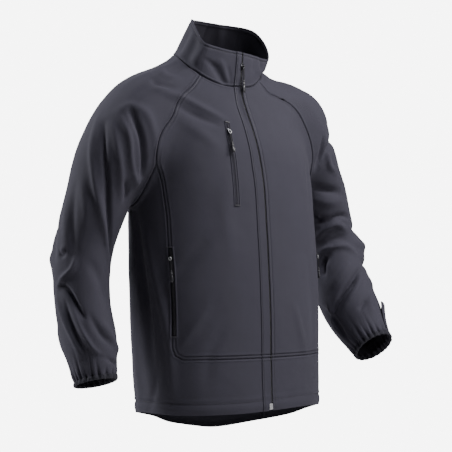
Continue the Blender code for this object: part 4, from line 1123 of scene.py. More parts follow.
def grid_mesh(sheet: Sheet) -> bmesh.types.BMesh:
    """Mesh of a sheet, facing outwards, with its UV map in metres of cloth."""
    rows, columns = sheet.points.shape[:2]
    bm = bmesh.new()
    uv = bm.loops.layers.uv.new("cloth")
    bmesh.ops.create_grid(bm, x_segments=columns - 1, y_segments=rows - 1, size=1.0)
    u, v = arc_lengths(sheet.points)
    flat_u, flat_v = u.ravel(), v.ravel()
    for vert, place in zip(bm.verts, sheet.points.reshape(-1, 3)):
        vert.co = place
    bm.verts.index_update()
    for face in bm.faces:
        for loop in face.loops:
            k = loop.vert.index
            loop[uv].uv = (flat_u[k], -flat_v[k])
    if sheet.ring:
        ends = [vert for vert in bm.verts if vert.index % columns in (0, columns - 1)]
        bmesh.ops.remove_doubles(bm, verts=ends, dist=0.02 * MM)
    bm.normal_update()
    middle = (rows // 2) * columns + columns // 2
    bm.verts.ensure_lookup_table()
    bm.faces.ensure_lookup_table()
    face = bm.faces[(rows // 2) * (columns - 1) + columns // 2]
    if face.normal.dot(Vector(sheet.normals.reshape(-1, 3)[middle])) < 0:
        bmesh.ops.reverse_faces(bm, faces=bm.faces)
    return bm


class Maker:
    """Turns meshes into the jacket's named pieces that ride on the frame."""

    def __init__(self, collection: bpy.types.Collection) -> None:
        """Keeps the collection that new pieces go into."""
        self.collection = collection

    def piece(
        self, name: str, bm: bmesh.types.BMesh, materials: Sequence[bpy.types.Material],
        slot: str, body: str = BODY, replaces: Sequence[str] = (), smooth: bool = True,
    ) -> bpy.types.Object:
        """Args:
            name: the piece's name.
            bm: its mesh, which is freed.
            materials: its materials, in the order of the faces' material numbers.
            slot: the record's material slot; not used.
            body: the body that it rides on.
            replaces: CAD nodes that it stands for.
            smooth: whether its faces are shaded smooth.

        Returns:
            The object.
        """
        mesh = bpy.data.meshes.new(name)
        bm.to_mesh(mesh)
        bm.free()
        if smooth:
            mesh.shade_smooth()
        thing = bpy.data.objects.new(name, mesh)
        self.collection.objects.link(thing)
        for material in materials:
            mesh.materials.append(material)
        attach(thing, body)
        if replaces:
            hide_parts(*replaces)
        return thing

    def wall(self, thing: bpy.types.Object, thickness: float) -> None:
        """Gives a sheet its thickness inwards, with the second material on the inside."""
        shape = thing.modifiers.new("cloth wall", "SOLIDIFY")
        shape.thickness = thickness
        shape.offset = -1
        shape.material_offset = 1
        shape.material_offset_rim = 0
        shape.use_even_offset = False
        shape.use_quality_normals = False


def flat_size(sheet: Sheet) -> tuple[float, float, float]:
    """Width, length and area of the cloth that a sheet is cut from."""
    u, v = arc_lengths(sheet.points)
    width = float((u.max(1) - u.min(1)).max())
    length = float(v[-1].max())
    p = sheet.points
    one = np.linalg.norm(np.cross(p[1:, :-1] - p[:-1, :-1], p[:-1, 1:] - p[:-1, :-1]), axis=2)
    two = np.linalg.norm(np.cross(p[1:, 1:] - p[1:, :-1], p[1:, 1:] - p[:-1, 1:]), axis=2)
    return width, length, float((one + two).sum() / 2)


@dataclass
class Shell:
    """The cloth of the jacket: fronts, sides with their band, back, sleeves, collar."""

    pattern: Pattern
    drape: Drape
    finishes: Finishes
    maker: Maker
    cloth: float = 1.6 * MM
    collar_cloth: float = 2.6 * MM
    hem_turn: float = 23 * MM
    edge_stitch: float = 6.6 * MM
    gathers: int = 21
    gather_rise: float = 4.2 * MM
    gather_reach: float = 46 * MM
    collar_middle: float = 4 * MM
    cuff_uneven: float = 0.35

    def spacings(self) -> dict[str, Array]:
        """Fine rows and columns, shared by all panels that meet."""
        cells = self.pattern.cells
        fine = {name: cells.fine(name) for name in cells.spans}
        fine["raglan"] = cells.fine("raglan", True, False)
        fine["princess"] = cells.fine("princess", False, True)
        return fine

    def build(self) -> dict[str, Sheet]:
        """Makes every panel.

        Returns:
            The draped sheets by name, for the pieces that lie on them.
        """
        fine = self.spacings()
        cells = self.pattern.cells
        made: dict[str, Sheet] = {}
        body_rows = np.concatenate([fine["raglan"], cells.raglan + fine["princess"][1:]])
        back_rows = np.concatenate([body_rows, cells.raglan + cells.princess + fine["band"][1:]])
        raglan_back = cells.raglan - fine["raglan"][::-1]
        ring = np.concatenate([
            fine["raglan"], cells.raglan + fine["under"][1:],
            cells.raglan + cells.under + raglan_back[1:],
            2 * cells.raglan + cells.under + fine["neck"][1:],
        ])
        for side in Side:
            word = side.name.lower()
            front = self.pattern.front(side).finer(body_rows, fine["front"])
            named = self.drape.named
            lines = [named["princess", side], named["band", side]]
            if side is Side.RIGHT:
                lines.append(named["raglan_front", side])
            made["front_" + word] = self.panel("front_" + word, front, self.front_edge(front, side), lines)
            panel = self.pattern.side_panel(side).finer(fine["princess"], fine["under"])
            band_columns = np.concatenate([fine["front"], cells.front + fine["under"][1:]])
            band = self.pattern.band(side).finer(fine["band"], band_columns)
            made["band_" + word] = self.drape.move(band, self.hem_strip(band))
            made["side_" + word] = self.side_piece("side_" + word, panel, made["band_" + word])
            sleeve = self.pattern.sleeve(side).finer(fine["sleeve"], ring)
            made["sleeve_" + word] = self.panel("sleeve_" + word, sleeve, self.gathered(sleeve, side))
            made["cuff_" + word] = self.cuff(side, made["sleeve_" + word])
        back = self.pattern.back().finer(back_rows, fine["back"])
        seams = ("raglan_back", "side_back", "band_back")
        lines = [self.drape.named[name, side] for name in seams for side in Side]
        made["back"] = self.panel("back", back, self.hem_strip(back), lines)
        collar_columns = np.concatenate([
            fine["front"], cells.front + (cells.neck - fine["neck"][::-1])[1:],
            cells.front + cells.neck + fine["back"][1:],
            cells.front + cells.neck + cells.back + fine["neck"][1:],
            cells.front + 2 * cells.neck + cells.back + (cells.front - fine["front"][::-1])[1:],
        ])
        collar = self.pattern.collar().finer(fine["collar"], collar_columns)
        made["collar"] = self.collar(collar)
        return made

    def panel(
        self, name: str, sheet: Sheet, extra: Optional[Array] = None, stitched: Sequence[Array] = (),
    ) -> Sheet:
        """Drapes a sheet and makes its piece.

        Args:
            name: the piece and the CAD node that it stands for.
            sheet: smooth fine cloth.
            extra: further height at each point.
            stitched: seams that it is topstitched along.

        Returns:
            The draped sheet.
        """
        draped = self.drape.move(sheet, extra, stitched=stitched)
        thing = self.maker.piece(
            name + "_cloth", grid_mesh(draped), (self.finishes.shell, self.finishes.fleece), "softshell",
            replaces=(name,))
        self.maker.wall(thing, self.cloth)
        return draped

    def side_piece(self, name: str, panel: Sheet, band: Sheet) -> Sheet:
        """Side panel and band as one L-shaped cloth.

        Args:
            name: the piece's name.
            panel: smooth cloth of the side panel.
            band: draped cloth of the band.

        Returns:
            The draped side panel.
        """
        draped = self.drape.move(panel)
        bm = grid_mesh(draped)
        below = grid_mesh(band)
        rest = bpy.data.meshes.new("band")
        below.to_mesh(rest)
        below.free()
        bm.from_mesh(rest)
        bpy.data.meshes.remove(rest)
        bmesh.ops.remove_doubles(bm, verts=bm.verts, dist=0.05 * MM)
        thing = self.maker.piece(
            name + "_cloth", bm, (self.finishes.shell, self.finishes.fleece), "softshell", replaces=(name,))
        self.maker.wall(thing, self.cloth)
        return draped

    def front_edge(self, sheet: Sheet, side: Side) -> Array:
        """Turned and stitched edge beside the zip, on the side that no placket covers."""
        u, _ = arc_lengths(sheet.points)
        inward = (u - u[:, :1]) / MM
        if side is Side.RIGHT:
            return 0 * inward
        stitch = self.edge_stitch / MM
        raised = 0.9 * MM * (1 - smoothstep(stitch - 2, stitch, inward))
        return Ridge(-1.5, stitch, 1.0).height(inward) + raised

    def hem_strip(self, sheet: Sheet) -> Array:
        """Turned-up hem with its row of stitching, slightly puffed between the two."""
        _, v = arc_lengths(sheet.points)
        up = (v[-1:] - v) / MM
        turn = self.hem_turn / MM
        ridges = (Ridge(-2.0, turn, 1.3), Ridge(1.8, turn / 2, turn / 2.6), Ridge(0.9, turn + 4, 3.0))
        return sum(ridge.height(up) for ridge in ridges)

    def gathered(self, sheet: Sheet, side: Side) -> Array:
        """Gathers where the elastic draws the sleeve in."""
        tube = self.drape.form.sleeves[side]
        s, angle, _ = tube.coordinates(sheet.points.reshape(-1, 3))
        up = tube.length - self.pattern.plan.cuff_binding - s
        return self.gather_height(up, angle, side).reshape(sheet.points.shape[:2])

    def gather_height(self, up: Array, angle: Array, side: Side) -> Array:
        """Height of the gathers at distances above the binding and angles round the sleeve."""
        wobble = 0.35 * np.sin(3 * angle + side.value) + 0.25 * np.sin(5 * angle + 1.3)
        wave = 0.5 + 0.5 * np.cos(self.gathers * angle + 2.2 * wobble)
        long = 0.5 + 0.5 * np.sin(7 * angle + 4 * wobble)
        fade = np.exp(-(np.clip(up, 0, None) / (self.gather_reach * (0.16 + 0.42 * long))) ** 1.4)
        puff = 1.6 * MM * np.exp(-((up - 14 * MM) / (11 * MM)) ** 2)
        return self.gather_rise * (0.45 - 1.2 * wave ** 2.5) * fade + puff

    def cuff(self, side: Side, sleeve: Sheet) -> Sheet:
        """Elastic binding round the end of a sleeve, rolled over its edge.

        Args:
            side: the wearer's side.
            sleeve: the draped sleeve, whose last row it takes over.

        Returns:
            The binding's sheet.
        """
        tube = self.drape.form.sleeves[side]
        base = sleeve.points[-1]
        outward = sleeve.normals[-1]
        end = tube.at(np.full(1, tube.length), tube.line)[0]
        along = tube.at(np.full(1, tube.length), tube.tangent)[0]
        level = ((base - end) @ along)[:, None] * along
        rim = base - level
        centre = rim.mean(0)
        spokes = unit(rim - centre)
        radius = np.linalg.norm(rim - centre, axis=1)[:, None]
        smooth = radius * self.cuff_uneven + radius.mean() * (1 - self.cuff_uneven)
        ellipse = centre + spokes * smooth
        width = self.pattern.plan.cuff_binding
        rows = []
        ribs = 0.22 * np.cos(np.arange(len(base)) * 1.9)[:, None]
        for down, proud in CUFF_SECTION:
            t = float(np.clip(down * MM / width, 0, 1))
            over = max(down * MM - width, -0.6 * MM) * (down < 0 or t == 1)
            ring = base * (1 - t) + ellipse * t + along * over
            rows.append(ring + (outward * (1 - t) + spokes * t) * (proud + ribs * (proud > 0)) * MM)
        points = np.stack(rows)
        points[:, -1] = points[:, 0]
        lean = np.gradient(points, axis=0)
        around = np.gradient(points, axis=1)
        sheet = Sheet(points, unit(np.cross(lean, around)) * side.value, True)
        name = "cuff_" + side.name.lower()
        bm = grid_mesh(Sheet(points, np.repeat(outward[None], len(rows), 0), True))
        bmesh.ops.remove_doubles(bm, verts=bm.verts, dist=0.01 * MM)
        bmesh.ops.recalc_face_normals(bm, faces=bm.faces)
        thing = self.maker.piece(
            name + "_binding", bm, (self.finishes.elastic,), "elastic_binding", replaces=(name,))
        outside = Sheet(points[:len(points) // 2], sheet.normals[:len(points) // 2], True)
        width, length, area = flat_size(sheet)
        return outside

    def collar(self, sheet: Sheet) -> Sheet:
        """Standing collar, with the folds of its right side, its stitched edge and soft fleece inside."""
        _, v = arc_lengths(sheet.points)
        total = v[-1][None]
        from_top = (total - v) / MM
        share = v / total
        angle = np.degrees(np.arctan2(sheet.points[..., 0], self.collar_middle - sheet.points[..., 1]))
        height = sum(ridge.height(from_top) for ridge in COLLAR_RIDGES)
        for at, lean, width, low, high, rise in COLLAR_FOLDS:
            ends = smoothstep(low - 0.2, low, share) * (1 - smoothstep(high, high + 0.2, share))
            height += Ridge(rise, 0.0, width).height(angle - at - lean * (share - 0.5)) * ends
        settled = 1 - smoothstep(0.05, 0.40, share)
        draped = self.drape.move(sheet, height, folded=settled.ravel())
        thing = self.maker.piece(
            "collar_cloth", grid_mesh(draped), (self.finishes.shell, self.finishes.facing), "softshell",
            replaces=("collar",))
        self.maker.wall(thing, self.collar_cloth)
        return draped


# section of the cuff's binding: mm down from the sleeve's end and mm out from it, once round
CUFF_SECTION = (
    (0.0, -0.9), (-1.2, 0.2), (-0.4, 1.3), (1.0, 1.9), (2.5, 2.1), (4.5, 2.1), (6.5, 1.9), (8.0, 1.4),
    (8.9, 0.4), (8.9, -0.7), (8.0, -1.5), (5.0, -1.7), (2.0, -1.5), (0.0, -0.9),
)

# the collar's stitched row and its rounded edge
COLLAR_RIDGES = (Ridge(-1.1, 6.0, 1.2), Ridge(-0.9, 0.0, 1.2))

# folds of the collar: degrees round from the front, lean over its height, width in degrees,
# lowest and highest share of its height, rise in mm
COLLAR_FOLDS = (
    (-99, 6, 7, 0.25, 0.65, -2.4),
    (-90, 16, 6, 0.2, 0.8, 2.4),
    (-80, 10, 6, 0.15, 0.75, -3.2),
    (-69, 22, 5, 0.3, 1.0, 2.6),
    (-53, -38, 8, 0.12, 0.42, -4.5),
    (-38, -18, 6, 0.2, 0.55, 1.8),
    (-30, -10, 4, 0.1, 0.4, -1.6),
    (-12, 4, 6, 0.3, 0.8, 1.0),
    (24, 10, 5, 0.6, 1.0, -1.3),
    (36, 8, 5, 0.5, 1.0, 1.4),
    (47, -10, 4, 0.65, 1.0, -1.7),
    (58, 10, 5, 0.45, 1.0, 1.6),
    (70, 8, 6, 0.3, 0.9, -1.6),
    (120, 0, 12, 0.2, 1.0, 1.8),
    (150, 0, 9, 0.1, 1.0, -2.0),
    (-130, 0, 14, 0.2, 1.0, -1.8),
)


@dataclass
class ZipSide:
    """Cloth beside the main zip on one side, row by row from the top of the collar to the hem."""

    points: Array
    normals: Array
    slot: float
    sign: int

    def at(self, x: Array) -> tuple[Array, Array]:
        """Points and outward directions at distances from the zip's middle, one on each row."""
        points, normals = [], []
        for row, directions, out in zip(self.points, self.normals, np.broadcast_to(x, len(self.points))):
            middle = row[0, 0] - self.sign * self.slot / 2
            reach = np.maximum.accumulate(np.abs(row[:, 0] - middle))
            points.append([middle + self.sign * out] + [np.interp(out, reach, row[:, k]) for k in (1, 2)])
            normals.append([np.interp(out, reach, directions[:, k]) for k in range(3)])
        return np.array(points), unit(np.array(normals))


def strip(columns: Sequence[tuple[Array, Array]], heights: Sequence[Array]) -> Sheet:
    """Sheet through columns of points, each standing at its own height over the cloth."""
    normals = np.stack([directions for _, directions in columns], 1)
    points = np.stack([place for place, _ in columns], 1) + normals * np.stack(heights, 1)[..., None]
    return Sheet(points, normals)


def along(points: Array, normals: Array, pitch: float) -> list[tuple[Array, Array, Array]]:
    """Equally spaced places on a line over the cloth.

    Args:
        points: the line.
        normals: outward directions along it.
        pitch: distance between two places.

    Returns:
        Each place with the line's direction and the outward direction there.
    """
    knots = travelled(points)
    count = max(int(knots[-1] / pitch), 1)
    at = (np.arange(count) + 0.5) * knots[-1] / count
    way = unit(between(at + 0.5 * MM, knots, points) - between(at - 0.5 * MM, knots, points))
    out = unit(between(at, knots, normals))
    out = unit(out - way * (out * way).sum(1)[:, None])
    return list(zip(between(at, knots, points), way, out))


def set_down(place: Array, across: Array, up: Array, out: Array) -> Matrix:
    """Matrix that sets a small piece down, its own axes along the three directions."""
    return Matrix([[across[k], up[k], out[k], place[k]] for k in range(3)] + [[0, 0, 0, 1]])


def blocks(
    bm: bmesh.types.BMesh, places: Sequence[tuple[Array, Array, Array]], size: tuple[float, float, float],
    lift: float, stagger: float = 0.0, bevel: float = 0.0,
) -> None:
    """Adds one small block at each place: a stitch, a zip tooth or a bar tack.

    Args:
        bm: mesh that they are added to.
        places: where they lie, each with its direction and its outward direction.
        size: across the line, along it and outwards.
        lift: height of their middle over the line.
        stagger: how far every other one is moved to either side of the line.
        bevel: width of their rounded edges.
    """
    made = []
    for k, (place, way, out) in enumerate(places):
        across = np.cross(way, out)
        spot = place + out * lift + across * stagger * (1 if k % 2 else -1)
        matrix = set_down(spot, across, way, out) @ Matrix.Diagonal((*size, 1))
        made += bmesh.ops.create_cube(bm, size=1, matrix=matrix)["verts"]
    if bevel:
        edges = {edge for vert in made for edge in vert.link_edges}
        bmesh.ops.bevel(
            bm, geom=list(edges), offset=bevel, segments=1, profile=0.5, affect="EDGES", material=-1)


def edge_line(sheet: Sheet, edge: str, inward: float) -> tuple[Array, Array]:
    """Line on a sheet at an even distance from one of its edges.

    Args:
        sheet: draped cloth.
        edge: "first", "last" column, or "top", "bottom" row.
        inward: distance from that edge, along the rows or columns.

    Returns:
        Points and outward directions.
    """
    points, normals = sheet.points, sheet.normals
    if edge in ("top", "bottom"):
        points, normals = points.transpose(1, 0, 2), normals.transpose(1, 0, 2)
    if edge in ("last", "bottom"):
        points, normals = points[:, ::-1], normals[:, ::-1]
    steps = np.linalg.norm(np.diff(points, axis=1), axis=2)
    reach = np.concatenate([np.zeros((len(points), 1)), np.cumsum(steps, 1)], 1)
    line = [[np.interp(inward, r, row[:, k]) for k in range(3)] for r, row in zip(reach, points)]
    outs = [[np.interp(inward, r, row[:, k]) for k in range(3)] for r, row in zip(reach, normals)]
    return np.array(line), unit(np.array(outs))


@dataclass
class MainZip:
    """Front zip: tape behind both fronts, coil in the slot, placket on the wearer's right."""

    pattern: Pattern
    finishes: Finishes
    maker: Maker
    tape_cloth: float = 0.8 * MM
    placket_width: float = 21.5 * MM
    placket_top_width: float = 13 * MM
    placket_start: float = 2.4 * MM
    placket_widens: float = 0.24
    slider_gap: float = 5.6 * MM
    slider_level: float = -0.030
    placket_cloth: float = 1.5 * MM
    tooth: tuple = (3.6 * MM, 1.25 * MM, 1.5 * MM)
    tooth_pitch: float = 1.9 * MM
    foot: float = 17 * MM
    foot_gap: float = 8.2 * MM
    tape_columns: tuple = (
        (Side.RIGHT, 12), (Side.RIGHT, 8), (Side.RIGHT, 4), (Side.RIGHT, 2),
        (Side.LEFT, 2), (Side.LEFT, 4), (Side.LEFT, 8), (Side.LEFT, 12),
    )
    placket_inner: tuple = (
        (0.0, -0.3), (0.15, 1.0), (0.8, 1.9), (1.6, 2.1), (2.6, 2.0), (4.5, 1.9), (7.0, 1.8),
    )
    placket_outer: tuple = (
        (6.5, 1.8), (4.6, 1.9), (3.6, 1.7), (2.9, 0.9), (2.2, 1.6), (1.4, 1.8), (0.7, 1.6), (0.15, 0.9),
        (0.0, -0.3),
    )
    placket_stitch: tuple = (2.9 * MM, 0.9 * MM)

    def sides(self, sheets: dict[str, Sheet]) -> dict[Side, ZipSide]:
        """Rows of cloth beside the zip on both sides."""
        count = len(self.pattern.cells.fine("front"))
        made = {}
        for side in Side:
            word = side.name.lower()
            near = slice(0, count) if side is Side.RIGHT else slice(-1, -1 - count, -1)
            stacks = []
            for kind in ("points", "normals"):
                collar = getattr(sheets["collar"], kind)[:0:-1, near]
                front = getattr(sheets["front_" + word], kind)
                band = getattr(sheets["band_" + word], kind)[1:, :count]
                stacks.append(np.concatenate([collar, front, band]))
            made[side] = ZipSide(stacks[0], stacks[1], self.pattern.plan.zip_slot, side.value)
        self.collar_rows = len(sheets["collar"].points) - 1
        return made

    def build(self, sheets: dict[str, Sheet]) -> tuple[Array, Array]:
        """Makes the tape, the coil and the placket.

        Args:
            sheets: the draped cloth.

        Returns:
            The line of the placket's stitching, with its outward directions.
        """
        sides = self.sides(sheets)
        right, left = sides[Side.RIGHT], sides[Side.LEFT]
        rows = len(right.points)
        depth = np.where(np.arange(rows) <= self.collar_rows, 3.1, 2.1) * MM
        columns, heights = [], []
        for side, reach in self.tape_columns:
            columns.append(sides[side].at(reach * MM))
            heights.append(-depth if reach > 3 else -0.7 * depth)
        tape = strip(columns, heights)
        thing = self.maker.piece(
            "zip_main_tape", grid_mesh(tape), (self.finishes.tape,) * 2, "zip_tape", replaces=("zip_main",))
        self.maker.wall(thing, self.tape_cloth)
        middle = [(a + b) / 2 for a, b in zip(right.at(2 * MM), left.at(2 * MM))]
        bm = bmesh.new()
        teeth = along(middle[0], unit(middle[1]), self.tooth_pitch)
        last = len(teeth) - round(self.foot / self.tooth_pitch)
        blocks(bm, teeth[:last], self.tooth, -0.9 * MM, stagger=0.5 * MM, bevel=0.35 * MM)
        self.maker.piece("zip_main_coil", bm, (self.finishes.coil,), "zip_tape")
        return self.placket(right)

    def placket(self, right: ZipSide) -> tuple[Array, Array]:
        """Facing strip that lies over the cloth beside the zip; gives the line of its stitching."""
        rows = len(right.points)
        start = right.at(0.0)[0][:, 2]
        narrow = np.clip(-start / self.placket_widens, 0, 1)
        outer = self.placket_top_width + (self.placket_width - self.placket_top_width) * narrow
        outer = outer + self.pattern.plan.zip_slot / 2
        near = np.exp(-((start - self.slider_level) / (11 * MM)) ** 4)
        edge = self.placket_start + (self.slider_gap - self.placket_start) * near
        inner = np.where(start < start[-1] + self.foot, np.maximum(edge, self.foot_gap), edge)
        columns, heights = [], []
        for inset, height in self.placket_inner:
            columns.append(right.at(inner + inset * MM))
            heights.append(np.full(rows, height * MM))
        last_inner, first_outer = self.placket_inner[-1][0], self.placket_outer[0][0]
        for inset, height in self.placket_outer:
            # where the strip is too narrow for both edges, its columns still stand one after the other
            least = inner + (last_inner + 0.05) * MM + (first_outer - inset) * 0.1 * MM
            columns.append(right.at(np.maximum(outer - inset * MM, least)))
            heights.append(np.full(rows, height * MM))
        sheet = strip(columns, heights)
        thing = self.maker.piece(
            "placket_strip", grid_mesh(sheet), (self.finishes.shell,) * 2, "softshell", replaces=("placket",))
        self.maker.wall(thing, self.placket_cloth)
        inset, height = self.placket_stitch
        line, normals = right.at(outer - inset)
        return line + normals * height, normals


@dataclass
class PocketZip:
    """Zip set into a panel: a narrow rolled edge of cloth round a tape, with its coil and bar tacks."""

    name: str
    side: Side
    path: tuple
    half_width: float
    pattern: Pattern
    drape: Drape
    finishes: Finishes
    maker: Maker
    tape: bpy.types.Material
    teeth: bpy.types.Material
    border: float = 3 * MM
    length_step: float = 3.4 * MM
    turn_radius: float = 0.150
    wall: float = 0.7 * MM
    bare_end: float = 4.5 * MM
    coil: tuple = (2.6 * MM, 1.1 * MM, 1.0 * MM)
    coil_pitch: float = 1.7 * MM
    tack: tuple = (2.2 * MM, 0.45 * MM, 0.5 * MM)
    tack_inset: float = 2.4 * MM
    profile: tuple = (
        (0.0, -0.5, 0), (0.7, 0.5, 0), (1.4, 1.25, 0), (2.2, 1.45, 0), (2.9, 1.1, 0), (3.2, 0.3, 1),
        (3.7, 0.3, 1), (4.0, 0.75, 1), (5.2, 0.9, 1),
    )

    def build(self) -> None:
        """Makes the set-in zip with its coil and its bar tacks."""
        line = spaced(self.path, 60)
        middle = self.pattern.form.torso_surface(np.radians(line[:, 0]) * self.side.value, line[:, 1])
        length = float(np.linalg.norm(np.diff(middle, axis=0), axis=1).sum())
        half = self.half_width + self.border
        insets = np.array([row[0] for row in self.profile]) * MM
        inner = np.arange(insets[-1] + 0.5 * MM, half, 0.9 * MM)
        inner = np.linspace(insets[-1], half, len(inner) + 1)[1:]
        across = np.concatenate([insets, inner])
        across = np.concatenate([across - half, (half - across[:-1])[::-1]])
        count = max(round((length - 2 * insets[-1]) / self.length_step), 4)
        down = np.concatenate([insets, np.linspace(insets[-1], length - insets[-1], count)[1:-1],
                               length - insets[::-1]])
        where = between(down / length, np.linspace(0, 1, 61), line)
        grid = np.repeat(where[:, None], len(across), 1)
        grid[..., 0] += np.degrees(across / self.turn_radius)[None]
        sheet = self.drape.move(self.pattern.sheet(grid, self.side.value))
        inset = np.minimum(np.minimum(down, length - down)[:, None], (half - np.abs(across))[None]) / MM
        table = np.array(self.profile)
        height = np.interp(inset, table[:, 0], table[:, 1])
        raised = Sheet(sheet.points + sheet.normals * height[..., None] * MM, sheet.normals)
        bm = grid_mesh(raised)
        inside = np.interp((inset[:-1, :-1] + inset[1:, 1:]) / 2, table[:, 0], table[:, 2]) > 0.5
        bm.faces.ensure_lookup_table()
        for face, dark in zip(bm.faces, inside.ravel()):
            face.material_index = int(dark) * 2
        thing = self.maker.piece(
            "zip_" + self.name + "_set_in", bm,
            (self.finishes.shell, self.finishes.fleece, self.tape, self.finishes.fleece),
            "zip_tape", replaces=("zip_" + self.name,))
        self.maker.wall(thing, self.wall)
        centre = raised.points[:, len(across) // 2]
        normals = raised.normals[:, len(across) // 2]
        kept = (down > self.bare_end) & (down < length - self.bare_end)
        bm = bmesh.new()
        blocks(
            bm, along(centre[kept], normals[kept], self.coil_pitch), self.coil, 0.3 * MM,
            stagger=0.35 * MM, bevel=0.25 * MM)
        self.maker.piece("zip_" + self.name + "_coil", bm, (self.teeth,), "zip_tape")
        bm = bmesh.new()
        for level in (self.tack_inset, length - self.tack_inset):
            row = np.argmin(np.abs(down - level))
            tack = along(raised.points[row, [3, -4]], raised.normals[row, [3, -4]], 0.55 * MM)
            blocks(bm, tack, self.tack, 0.5 * MM)
        self.maker.piece("bar_tacks_" + self.name, bm, (self.finishes.thread,), "softshell", smooth=False)


